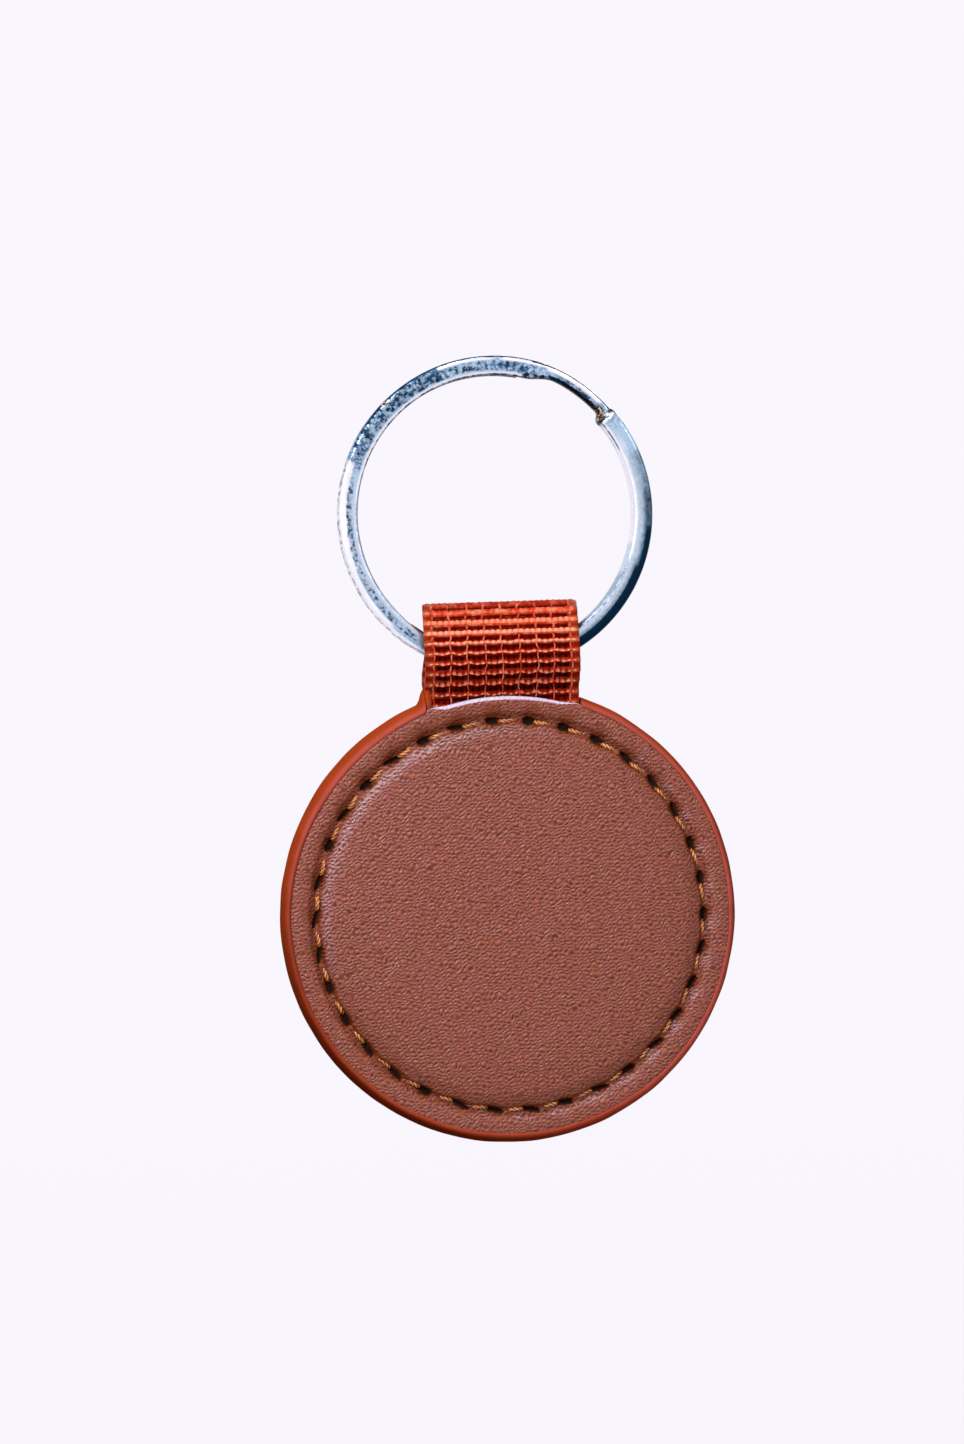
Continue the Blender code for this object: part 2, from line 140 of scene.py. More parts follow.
class RingLook(bpy.types.PropertyGroup):
    """Split ring: flat wire wound twice."""
    wire_width: length_setting("Wire width", 1.85, "Width of the flat wire, across the ring")
    wire_thickness: length_setting("Wire thickness", 1.16, "Thickness of one turn")
    corner: length_setting("Corner radius", 0.38, "Rounding of the wire's corners")
    jog_start: angle_setting(
        "Jog start", 14, "Where the front turn starts to cross to the rear, from the top")
    jog_span: angle_setting("Jog span", 36, "Angle that the crossing takes")
    jog_width: length_setting(
        "Jog wire width", 1.22, "Width of the wire in the middle of the crossing")
    end_slant: angle_setting("End slant", 2.6, "How far the cut at the wire's front end leans")
    sectors: IntProperty(
        name="Sectors", description="Stretches of 24 sections along the whole wire", default=24)
    bright: colour_setting(
        "Bright steel", (182, 208, 228), "Colour of the clean plating on the faces")
    dull: colour_setting("Dull steel", (60, 88, 128), "Colour of the specks of worn plating")
    # Painted highlight and painted dark reflection: the next two colours stand in for lamps and dark
    # surroundings mirrored in the wire
    highlight_colour: colour_setting("Polished steel", (244, 244, 250), "Colour of the rubbed edges")
    dark_reflection_colour: colour_setting(
        "Tarnished steel", (8, 32, 52), "Colour of the dull blue-black stretches")


class StrapLook(bpy.types.PropertyGroup):
    """Webbing strap: ribbed narrow weave, folded through the ring."""
    rib_pitch: length_setting("Rib pitch", 1.0, "Drop from rib to rib on the hanging strap")
    columns: IntProperty(name="Columns", description="Columns between binder threads", default=8)
    column_width: length_setting("Column width", 1.64, "Distance between two binder threads")
    column_yarns: IntProperty(
        name="Yarns in a column", description="Warp yarns between two binder threads", default=3)
    warp_thickness: length_setting("Warp thickness", 0.25, "Thickness of one warp yarn")
    binder_diameter: length_setting(
        "Binder diameter", 0.17, "Diameter of the thin threads between columns")
    fold_radius: length_setting(
        "Fold radius", 2.0, "Radius of the strap's centre line at the top fold")
    lean: FloatProperty(
        name="Lean", description="Lean of the strap to the left, as a share of its height",
        default=0.022)
    skew: length_setting("Skew", 0.1, "Shift to the right for each millimetre towards the rear")
    crest: colour_setting("Crest colour", (246, 86, 46), "Colour of the yarn on top of a rib")
    # The valley colour is painted shade for yarn lying deep between ribs
    valley: colour_setting("Valley colour", (126, 7, 0), "Colour of the yarn deep between ribs")
    selvedge: colour_setting(
        "Selvedge colour", (188, 80, 34), "Colour of the plain woven edges")


class LeatherLook(bpy.types.PropertyGroup):
    """Leather panels with a crowned middle and a sewn channel."""
    corner: length_setting("Edge rounding", 0.3, "Rounding of the panels' outer edge")
    wrinkle_pitch: length_setting(
        "Wrinkle pitch", 0.36, "Distance from wrinkle to wrinkle of the grain")
    wrinkle_length: length_setting("Wrinkle length", 0.5, "Length of one wrinkle of the grain")
    grain_depth: length_setting("Grain depth", 0.1, "Height of the grain")
    light: colour_setting("Light leather", (174, 95, 70), "Colour on top of the grain")
    dark: colour_setting("Dark leather", (84, 33, 20), "Colour in the wrinkles of the grain")
    blush: colour_setting("Blush", (150, 70, 72), "Colour of the redder patches")
    # Painted shade: the seam shade colour darkens the leather round the seam
    seam_shade_colour: colour_setting(
        "Seam shade", (142, 62, 14), "Colour of the leather pulled into the seam")
    backing: colour_setting(
        "Backing", (216, 202, 222), "Colour of the bare cut edge at the mouth")


class SeamLook(bpy.types.PropertyGroup):
    """Lockstitch seam through the fob."""
    stitches: IntProperty(name="Stitches", description="Needle holes round the fob", default=34)
    first_hole: angle_setting(
        "First hole", 7.3, "Angle of the first needle hole, clockwise from the top")
    thread_diameter: length_setting("Thread diameter", 0.42, "Diameter of the twisted thread")
    twist_pitch: length_setting(
        "Twist pitch", 1.4, "Length of one turn of the thread's three strands")
    hole_length: length_setting(
        "Hole length", 1.6, "Length of the needle hole, pulled open by the thread")
    hole_width: length_setting("Hole width", 0.54, "Width of the needle hole")
    colour: colour_setting("Thread colour", (248, 156, 80), "Colour of the thread")


class PaintLook(bpy.types.PropertyGroup):
    """Edge paint round the fob."""
    colour: colour_setting("Paint colour", (163, 62, 26), "Colour of the painted edge")
    # The lap colour is a painted pink sheen where the paint laps onto the leather
    lap_sheen_colour: colour_setting(
        "Lap colour", (178, 82, 68), "Colour of the paint where it laps thinly onto the leather")
    lip_height: length_setting("Lip height", 1.5, "How far the paint ran up beside the strap")
    lip_length: length_setting(
        "Lip length", 0.6, "Length of the coat's end that rises into the lip")


class StudioLook(bpy.types.PropertyGroup):
    """Floor, lights and camera."""
    backdrop: colour_setting(
        "Backdrop", (249, 246, 253), "Colour of the floor and of what lies behind")
    floor: colour_setting("Floor", (190, 188, 194), "Colour of the floor where lamps light it")
    focal_length: FloatProperty(
        name="Focal length", description="Focal length of the camera in millimetres", default=100.0)
    azimuth: angle_setting(
        "Azimuth", -6.5, "Camera's angle round the keychain from straight in front")
    elevation: angle_setting("Elevation", 1.0, "Camera's angle above the horizon")
    roll: angle_setting("Roll", 1.915, "Lean of the keychain to the left in the picture")
    distance: length_setting(
        "Distance", 381.2, "Distance from the camera to the point it looks at")
    aim: FloatVectorProperty(
        name="Aim", description="Point that the camera looks at",
        default=(-1.9 * MM, 0.0, -32.7 * MM), subtype="TRANSLATION", size=3)
    floor_height: length_setting(
        "Floor height", -135.0, "Height of the floor under the hanging keychain")


class Finish:
    """A procedural material, made node by node."""

    def __init__(self, name):
        self.material = bpy.data.materials.new(name)
        self.material.use_nodes = True
        self.tree = self.material.node_tree
        self.shader = self.tree.nodes["Principled BSDF"]

    def add(self, kind, inputs=None, **settings):
        node = self.tree.nodes.new("ShaderNode" + kind)
        for setting, value in settings.items():
            setattr(node, setting, value)
        for socket, value in (inputs or {}).items():
            self.feed(node.inputs[socket], value)
        return node

    def feed(self, socket, value):
        if isinstance(value, bpy.types.NodeSocket):
            self.tree.links.new(value, socket)
        elif socket.type == "RGBA" and len(value) == 3:
            socket.default_value = (*value, 1.0)
        else:
            socket.default_value = value

    def shade(self, **sockets):
        for name, value in sockets.items():
            self.feed(self.shader.inputs[name.replace("_", " ").title().replace("Ior", "IOR")], value)

    def object_place(self, scale=(1, 1, 1), rotation=(0, 0, 0)):
        place = self.add("TexCoord").outputs["Object"]
        inputs = {"Vector": place, "Scale": scale, "Rotation": rotation}
        return self.add("Mapping", inputs).outputs["Vector"]

    def attribute(self, name, output="Fac"):
        return self.add("Attribute", attribute_name=name).outputs[output]

    def noise(self, place, scale, detail=2.0, roughness=0.5):
        """Soft noise; the scale counts its patches along one unit of the place."""
        inputs = {"Vector": place, "Scale": scale, "Detail": detail, "Roughness": roughness}
        return self.add("TexNoise", inputs).outputs["Fac"]

    def remap(self, value, low, high, to_low=0.0, to_high=1.0):
        inputs = {"Value": value, "From Min": low, "From Max": high,
                  "To Min": to_low, "To Max": to_high}
        return self.add("MapRange", inputs).outputs["Result"]

    def math(self, operation, first, second):
        return self.add("Math", {0: first, 1: second}, operation=operation).outputs["Value"]

    def plus(self, first, second):
        return self.math("ADD", first, second)

    def minus(self, first, second):
        return self.math("SUBTRACT", first, second)

    def times(self, first, second):
        return self.math("MULTIPLY", first, second)

    def mix(self, share, first, second):
        node = self.add("Mix", {"Factor": share}, data_type="RGBA")
        self.feed(node.inputs[6], first)
        self.feed(node.inputs[7], second)
        return node.outputs[2]

    def bump(self, height, distance, strength=1.0):
        inputs = {"Height": height, "Distance": distance, "Strength": strength}
        return self.add("Bump", inputs).outputs["Normal"]


def steel_finish(look):
    """Plated wire: speckled blue-grey faces, painted highlights on the edges and painted dark
    blue-black reflections along stretches.
    """
    reflected_blue, reflected_black = linear(52, 96, 130), linear(14, 12, 14)
    burr_pit, burr_tip = linear(30, 18, 16), linear(208, 184, 164)
    finish = Finish("nickel_steel")
    place = finish.object_place()
    haze = finish.noise(place, 420, detail=4.0, roughness=0.7)
    speckle = finish.noise(place, 3200, detail=3.0, roughness=0.6)
    uneven = finish.minus(1.0, finish.attribute("sleek"))
    wear = finish.times(finish.remap(haze, 0.35, 0.6), finish.remap(speckle, 0.38, 0.62))
    colour = finish.mix(finish.times(wear, uneven), look.bright, look.dull)
    grit = finish.times(finish.minus(speckle, 0.5), 0.75)
    # Painted highlight on the edges, speckled by the grit
    painted_sheen = finish.remap(finish.plus(finish.attribute("painted_highlight"), grit), 0.15, 0.85)
    colour = finish.mix(painted_sheen, colour, look.highlight_colour)
    # Painted dark reflection: blue-black stretches with blotchy borders, a little rougher, nearly
    # black above 1
    dark_reflection = finish.attribute("dark_reflection")
    undarkened = finish.minus(1.0, dark_reflection)
    blotches = finish.noise(place, 2300, detail=3.0, roughness=0.6)
    blotches = finish.remap(blotches, 0.38, 0.62, -2.0, 2.0)
    spots = finish.times(finish.times(finish.times(dark_reflection, undarkened), uneven), blotches)
    dark_reflection_cover = finish.remap(finish.plus(dark_reflection, spots), 0.15, 0.9)
    tints = finish.times(finish.remap(finish.noise(place, 1500), 0.42, 0.66), undarkened)
    dark_reflection_tone = finish.mix(finish.times(tints, 1.6), look.dark_reflection_colour, reflected_blue)
    colour = finish.mix(dark_reflection_cover, colour, dark_reflection_tone)
    colour = finish.mix(finish.remap(dark_reflection, 1.0, 1.5), colour, reflected_black)
    burr = finish.mix(finish.remap(speckle, 0.45, 0.6), burr_pit, burr_tip)
    colour = finish.mix(finish.attribute("raw_cut"), colour, burr)
    scratches = finish.noise(finish.object_place(scale=(1, 6, 1)), 3200, detail=3.0)
    finish.shade(
        base_color=colour, metallic=1.0,
        roughness=finish.plus(
            finish.remap(haze, 0.3, 0.7, 0.2, 0.36), finish.times(dark_reflection_cover, 0.15)),
        normal=finish.bump(scratches, 0.012 * MM))
    return finish.material


def leather_finish(look):
    """Fine level wrinkles that lean a little, plain where the seam stretches the leather."""
    stretched_colour, seam_shade_dark = linear(136, 74, 52), linear(72, 22, 1)
    painted_sheen_colour, hole_shade_colour = linear(222, 202, 216), (0.012, 0.003, 0.001)
    sway_reach = (0.9 * MM, 0.9 * MM, 0.0)
    finish = Finish("brown_leather")
    flat = finish.object_place(rotation=(radians(-90), 0, 0))
    sway = finish.add("TexNoise", {"Vector": flat, "Scale": 900.0, "Detail": 1.0})
    swayed = finish.add(
        "VectorMath", {0: sway.outputs["Color"], 1: sway_reach, 2: flat},
        operation="MULTIPLY_ADD").outputs["Vector"]

    def turned(degrees):
        mapping = finish.add("Mapping", {
            "Vector": swayed, "Rotation": (0, 0, radians(degrees)),
            "Scale": (look.wrinkle_length, look.wrinkle_pitch, 1.0)}, vector_type="TEXTURE")
        return mapping.outputs["Vector"]

    waves = [
        finish.add("TexWave", {"Vector": turned(degrees), "Scale": pi / 10},
                   bands_direction="Y").outputs["Fac"]
        for degrees in (-2, 38)]
    pebbles = finish.add(
        "TexVoronoi", {"Vector": turned(20), "Scale": 1.6, "Randomness": 0.9},
        voronoi_dimensions="2D")
    pebble = finish.remap(pebbles.outputs["Distance"], 0.1, 0.75, 1.0, 0.0)
    fine = finish.noise(flat, 5000, roughness=0.6)
    patches = finish.noise(flat, 300)
    plain = finish.attribute("stretched")
    folds = finish.plus(finish.times(finish.plus(*waves), 0.28), finish.times(pebble, 0.3))
    depth = finish.plus(folds, finish.times(finish.remap(fine, 0.3, 0.7), 0.14))
    grain = finish.remap(depth, 0.25, 0.8)
    colour = finish.mix(grain, look.dark, look.light)
    colour = finish.mix(finish.remap(patches, 0.45, 0.65, 0.0, 0.15), colour, look.blush)
    colour = finish.mix(finish.times(plain, 0.6), colour, stretched_colour)
    # Painted shade round the seam, keeping the grain
    shaded = finish.mix(grain, seam_shade_dark, look.seam_shade_colour)
    colour = finish.mix(finish.attribute("seam_shade"), colour, shaded)
    # Painted sheen: pale lilac specks on the raised grain
    pale = finish.times(finish.attribute("painted_sheen"), finish.remap(depth, 0.4, 0.8))
    colour = finish.mix(pale, colour, painted_sheen_colour)
    # Painted shade in the needle holes and beside the thread
    hole = finish.attribute("hole_shade")
    colour = finish.mix(hole, colour, hole_shade_colour)
    colour = finish.mix(finish.attribute("bare_edge"), colour, look.backing)
    strength = finish.remap(plain, 0.0, 1.0, 1.0, 0.25)
    finish.shade(
        base_color=colour, specular_ior_level=0.3,
        roughness=finish.math("MAXIMUM", hole, finish.remap(depth, 0.2, 0.8, 0.42, 0.28)),
        normal=finish.bump(depth, look.grain_depth, strength))
    return finish.material


def webbing_finish(look, name, base, painted_glint_share):
    """Shiny filament yarn, with painted shade where it lies low in the weave and painted glints on
    the crests.
    """
    painted_glint_colour = linear(255, 186, 146)
    finish = Finish(name)
    weave = finish.attribute("weave", "Vector")
    along_yarn = finish.add("Mapping", {"Vector": weave, "Scale": (22.0, 1.8, 22.0)})
    filaments = finish.noise(along_yarn.outputs["Vector"], 1.0)
    blotches = finish.noise(weave, 1.7)
    # Painted shade: yarn low in the weave takes the valley colour; painted glints on the crests
    high = finish.attribute("rib_shade_and_glint")
    colour = finish.mix(high, look.valley, base)
    colour = finish.mix(finish.remap(filaments, 0.4, 0.7, 0.0, 0.35), colour, look.valley)
    colour = finish.mix(finish.remap(blotches, 0.3, 0.5, 0.35, 0.0), colour, look.valley)
    painted_shine = finish.times(finish.remap(blotches, 0.45, 0.65, 0.0, painted_glint_share), high)
    painted_shine = finish.math("MAXIMUM", painted_shine, finish.remap(high, 0.94, 1.22))
    colour = finish.mix(painted_shine, colour, painted_glint_colour)
    finish.shade(
        base_color=colour, roughness=0.4, specular_ior_level=0.02,
        normal=finish.bump(filaments, 0.02 * MM))
    return finish.material


def thread_finish(look):
    """Waxed twisted thread with fine fibres, with painted shade where it dives into the leather and
    between its strands.
    """
    darker, thread_shade_colour = linear(146, 66, 20), (0.012, 0.004, 0.001)
    finish = Finish("amber_thread")
    place = finish.object_place()
    fibres = finish.noise(place, 9000)
    patches = finish.noise(place, 900)
    colour = finish.mix(finish.remap(patches, 0.4, 0.7, 0.0, 0.7), look.colour, darker)
    colour = finish.mix(finish.attribute("thread_shade"), colour, thread_shade_colour)
    finish.shade(
        base_color=colour, roughness=0.3, specular_ior_level=0.5,
        normal=finish.bump(fibres, 0.012 * MM))
    return finish.material


def paint_finish(look):
    """Rubbery edge paint, thin where it laps onto the leather, with a painted pink sheen there and
    painted shade underneath.
    """
    deep_colour, shade_and_line_colour = linear(138, 38, 8), linear(78, 20, 2)
    finish = Finish("edge_paint_coat")
    place = finish.object_place()
    ripple = finish.noise(place, 420)
    grit = finish.noise(place, 3400)
    colour = finish.mix(finish.attribute("lap"), look.colour, look.lap_sheen_colour)
    colour = finish.mix(finish.remap(ripple, 0.4, 0.75, 0.0, 0.3), colour, deep_colour)
    # Painted shade on the coat's underside, and a dark line where the lap ends
    colour = finish.mix(finish.attribute("shade_and_lap_line"), colour, shade_and_line_colour)
    height = finish.plus(ripple, finish.times(grit, 0.12))
    finish.shade(
        base_color=colour, specular_ior_level=0.0,
        roughness=finish.remap(grit, 0.3, 0.7, 0.3, 0.4),
        normal=finish.bump(height, 0.08 * MM))
    return finish.material


def foam_finish():
    """Open-cell foam."""
    finish = Finish("pale_foam")
    cells = finish.add("TexVoronoi", {"Vector": finish.object_place(), "Scale": 2600.0})
    gap = finish.remap(cells.outputs["Distance"], 0.15, 0.6)
    colour = finish.mix(gap, linear(222, 216, 202), linear(176, 168, 150))
    finish.shade(base_color=colour, roughness=0.9, normal=finish.bump(gap, -0.05 * MM))
    return finish.material


def board_finish():
    """Pressed fibre board."""
    finish = Finish("fibre_board")
    stretched = finish.object_place(scale=(1, 1, 0.25), rotation=(0, radians(30), 0))
    fibres = finish.noise(stretched, 3000, detail=4.0, roughness=0.7)
    colour = finish.mix(finish.remap(fibres, 0.3, 0.7), linear(128, 98, 70), linear(176, 146, 112))
    finish.shade(base_color=colour, roughness=0.85, normal=finish.bump(fibres, 0.02 * MM))
    return finish.material


def finish_piece(bm, name, material, body=None, replaced=()):
    """Store a bmesh as a finished piece of the keychain."""
    mesh = bpy.data.meshes.new(name)
    bm.to_mesh(mesh)
    bm.free()
    mesh.shade_smooth()
    mesh.materials.append(material)
    piece = bpy.data.objects.new(name, mesh)
    bpy.context.collection.objects.link(piece)
    if body:
        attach(piece, body)
    if replaced:
        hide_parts(*replaced)
    return piece


def add_chain(bm, points):
    """Add points joined by edges, and return the new geometry."""
    verts = [bm.verts.new(point) for point in points]
    return verts + [bm.edges.new(pair) for pair in zip(verts, verts[1:])]


def absorb(target, source):
    """Move all geometry of one bmesh into another."""
    mesh = bpy.data.meshes.new("moved")
    source.to_mesh(mesh)
    source.free()
    target.from_mesh(mesh)
    bpy.data.meshes.remove(mesh)


def open_loops(bm):
    """Closed loops of open edges, largest first."""
    left = {edge for edge in bm.edges if edge.is_boundary}
    loops = []
    while left:
        loop = [left.pop()]
        ends = list(loop[0].verts)
        while ends:
            vert = ends.pop()
            for edge in vert.link_edges:
                if edge in left:
                    left.remove(edge)
                    loop.append(edge)
                    ends.append(edge.other_vert(vert))
        loops.append(loop)
    return sorted(loops, key=len, reverse=True)

def add_values(bm, *names):
    """New values on every vertex, which the material reads by name."""
    return [bm.verts.layers.float.new(name) for name in names]


def settle_on_fob(bm):
    """Turn all faces outwards and move what was built round the origin to the fob's centre."""
    bmesh.ops.recalc_face_normals(bm, faces=bm.faces)
    bmesh.ops.translate(bm, verts=bm.verts, vec=(0, 0, FOB_CENTRE_Z))


def running_lengths(points):
    """Distance along a course at each of its points."""
    return np.concatenate([[0], np.cumsum(np.linalg.norm(np.diff(points, axis=0), axis=1))])


def course_at(places, lengths, points):
    """Points of a course at some distances along it."""
    return np.stack([np.interp(places, lengths, column) for column in points.T], axis=1)


def soft_kernel(width):
    """Weights that smooth a row of values."""
    kernel = np.hanning(width)
    return kernel / kernel.sum()


WELD = 0.002 * MM


def spin_sectors(bm, geom, angle, sectors, steps, screw=0.0):
    """Spin geometry about Y: one sector first, then copies of it, welded together.

    With a screw, each section lies that much further along Y, so it can be told apart.
    """
    bmesh.ops.spin(
        bm, geom=geom, cent=(0, 0, 0), axis=(0, 1, 0), dvec=(0, screw, 0),
        angle=angle / sectors, steps=steps, use_merge=False)
    bmesh.ops.spin(
        bm, geom=bm.verts[:] + bm.edges[:] + bm.faces[:], cent=(0, 0, 0), axis=(0, 1, 0),
        dvec=(0, screw * steps, 0), angle=angle * (sectors - 1) / sectors, steps=sectors - 1,
        use_merge=False, use_duplicate=True)
    bmesh.ops.remove_doubles(bm, verts=bm.verts, dist=WELD)


# Split ring

WIRE_SCREW = 2 * MM
SECTOR_STEPS = 24
END_ROUNDING = 0.06 * MM

# Stretches of the wire's colour: from and to in degrees clockwise from the top, inner and outer
# limit across the wire from -1 inside to 1 outside, and strength. The first list holds painted
# highlights and the second painted dark reflections, which turn nearly black above 1. A limit
# far outside the wire makes a broad ramp. The sleek stretches have no speckles, and the burred
# spots are raw and rough from the cut.
# Painted highlights
PAINTED_HIGHLIGHTS = [(246, 294, 0.15, 1.2, 1.0), (222, 258, 0.36, 1.2, 1.0), (210, 240, 0.6, 1.2, 0.9),
            (20, 47, 0.15, 1.2, 1.0), (48, 108, -1.3, -0.6, 1.0), (50, 172, -1.3, 0.0, 0.45),
            (165, 400, -1.2, -0.6, 0.7), (338, 362, 0.5, 1.0, 0.7), (196, 292, -0.7, 0.1, 0.3),
            (2, 24, 0.5, 1.2, 0.8)]
# Painted dark reflections
PAINTED_DARK_REFLECTIONS = [(292, 342, 0.2, 1.2, 0.62), (286, 346, -0.55, 0.4, 0.7), (284, 300, 0.5, 1.2, 0.35),
             (62, 132, 0.2, 4.2, 0.75), (72, 176, 0.0, 3.0, 0.84), (88, 176, 0.15, 3.0, 1.0),
             (106, 172, 0.0, 1.4, 1.0), (104, 172, -0.3, 1.2, 0.6), (104, 176, -0.84, -0.6, 0.8),
             (112, 178, -1.4, -0.62, 0.45), (340, 380, -0.5, 0.45, 0.5), (56, 172, -0.5, 0.8, 0.36),
             (20, 52, -1.3, -0.35, 1.0), (24, 50, -1.3, 0.1, 0.5), (10, 36, -1.3, -0.5, 0.8),
             (50, 84, 0.6, 0.74, 0.5), (206, 290, -0.34, 0.26, 0.45), (196, 285, -0.82, -0.66, 0.6),
             (296, 342, 0.56, 1.3, 0.85), (296, 414, 0.82, 1.2, 1.0), (214, 300, -1.3, -0.86, 0.8),
             (46, 66, -0.92, -0.8, 0.9), (284, 400, -1.3, -0.86, 0.9), (50, 100, 0.9, 1.2, 0.8),
             (196, 300, 0.96, 1.4, 0.8), (26, 53, -1.3, -0.5, 1.6), (12, 54, 0.74, 1.3, 1.35)]
SLEEK = [(46, 184, -2.0, 2.0, 0.85), (190, 296, -1.3, -0.5, 0.9)]
BURRED = [(45.2, 50.6, -1.3, 0.2, 1.0), (314.6, 318, 0.55, 1.2, 0.8)]


def worn(stretches, degrees, across):
    """How strongly any of the stretches covers a place on the wire."""
    cover = 0.0
    for start, stop, inner, outer, strength in stretches:
        offset = (degrees - start) % 360
        span = stop - start
        fade = ease(8 * offset / span) * ease(8 * (1 - offset / span)) if offset < span else 0.0
        soft = max(0.3 * (outer - inner), 0.12)
        edge = ease((across - inner) / soft + 0.5) * ease((outer - across) / soft + 0.5)
        cover = max(cover, strength * fade * edge)
    return cover


def wire_width_at(look, angle):
    """Width of the wire at an angle from the top; it narrows where it crosses over."""
    along_jog = ((angle - look.jog_start) % (2 * pi)) / look.jog_span
    pinch = ease(3 * along_jog) * ease(12 * (1 - along_jog))
    return look.wire_width + (look.jog_width - look.wire_width) * pinch


def place_wire(look, angle, outward, sideways):
    """Point of the wire at a running angle, clockwise from the top."""
    pitch = RING_THICKNESS - look.wire_thickness
    along_jog = (angle - (look.jog_start + 2 * pi)) / look.jog_span
    width = wire_width_at(look, angle)
    radius = RING_RADIUS - width / 2 + outward * width / look.wire_width
    y = (ease(along_jog) - 0.5) * pitch + sideways
    return (radius * sin(angle), y, RING_CENTRE_Z + radius * cos(angle))


def build_split_ring(look):
    """Flat wire wound twice, with its crossing, its cut ends, the stretches of its worn plating, and
    its painted highlights and painted dark reflections.
    """
    bm = bmesh.new()
    bmesh.ops.create_grid(bm, x_segments=1, y_segments=1, size=0.5)
    bmesh.ops.scale(bm, verts=bm.verts, vec=(look.wire_width, look.wire_thickness, 1))
    bmesh.ops.bevel(
        bm, geom=bm.verts[:], offset=look.corner, segments=6, profile=0.5,
        affect="VERTICES", material=-1)
    bmesh.ops.subdivide_edges(
        bm, edges=[edge for edge in bm.edges if edge.calc_length() > look.corner], cuts=7)
    bmesh.ops.rotate(bm, verts=bm.verts, cent=(0, 0, 0), matrix=Matrix.Rotation(-pi / 2, 3, "Y"))
    middle = RING_RADIUS - look.wire_width / 2
    bmesh.ops.translate(bm, verts=bm.verts, vec=(0, 0, middle))
    start = look.jog_start + look.jog_span - radians(1)
    stop = look.jog_start + 4 * pi - radians(3)
    bmesh.ops.delete(bm, geom=bm.faces[:], context="FACES_ONLY")
    sections = look.sectors * SECTOR_STEPS
    spin_sectors(
        bm, bm.verts[:] + bm.edges[:], stop - start, look.sectors, SECTOR_STEPS, WIRE_SCREW)
    for vert in bm.verts:
        x, y, z = vert.co
        section = round(y / WIRE_SCREW)
        sideways = y - section * WIRE_SCREW
        angle = start + (stop - start) * section / sections
        front = 0.5 - sideways / look.wire_thickness
        angle += look.end_slant * front * ease(1 - section / 7)
        vert.co = place_wire(look, angle, hypot(x, z) - middle, sideways)
    bmesh.ops.holes_fill(bm, edges=bm.edges, sides=0)
    caps = [edge for edge in bm.edges if any(len(face.verts) > 4 for face in edge.link_faces)]
    bmesh.ops.bevel(
        bm, geom=caps, offset=END_ROUNDING, segments=2, profile=0.5, affect="EDGES", material=-1)
    painted_highlight, dark_reflection, raw, sleek = add_values(bm, "painted_highlight", "dark_reflection", "raw_cut", "sleek")
    bmesh.ops.recalc_face_normals(bm, faces=bm.faces)
    bm.normal_update()
    for vert in bm.verts:
        x, y, z = vert.co
        z -= RING_CENTRE_Z
        angle = atan2(x, z)
        outward = vert.normal.x * sin(angle) + vert.normal.z * cos(angle)
        outer_wall = ease((outward - 0.97) / 0.025)
        width = wire_width_at(look, angle)
        across = (hypot(x, z) - RING_RADIUS + width / 2) / (width / 2)
        place = (np.degrees(angle), across)
        # Painted highlights and painted dark reflections, the reflections weaker on the outer wall
        vert[painted_highlight] = worn(PAINTED_HIGHLIGHTS, *place)
        vert[dark_reflection] = worn(PAINTED_DARK_REFLECTIONS, *place) * (1 - 0.75 * outer_wall)
        vert[raw] = worn(BURRED, *place)
        vert[sleek] = worn(SLEEK, *place)
    # Painted highlight on the flat cut ends
    for face in bm.faces:
        if len(face.verts) > 8:
            for vert in face.verts:
                vert[painted_highlight] = 1.0
    finish_piece(
        bm, "split_ring_wire", steel_finish(look), "ring", ["split_ring"])


# Webbing strap

PATH_STEP = 0.04 * MM
PATH_SMOOTHING = 0.45 * MM
# The plies lie side by side from this far below the bending line
PLIES_MEET = 0.2 * MM
# Least spacing of the ribs where the strap lies level on top, as a share of its length
LEVEL_SHARE = 0.3
END_ALLOWANCE = 0.02
# The skew is nought this many millimetres in front, and fades over this height
SKEW_START = 3
SKEW_FADE = 4 * MM
# Steps in one rib
WARP_STEPS = 10
SELVEDGE_STEPS = 6
BINDER_STEPS = 8


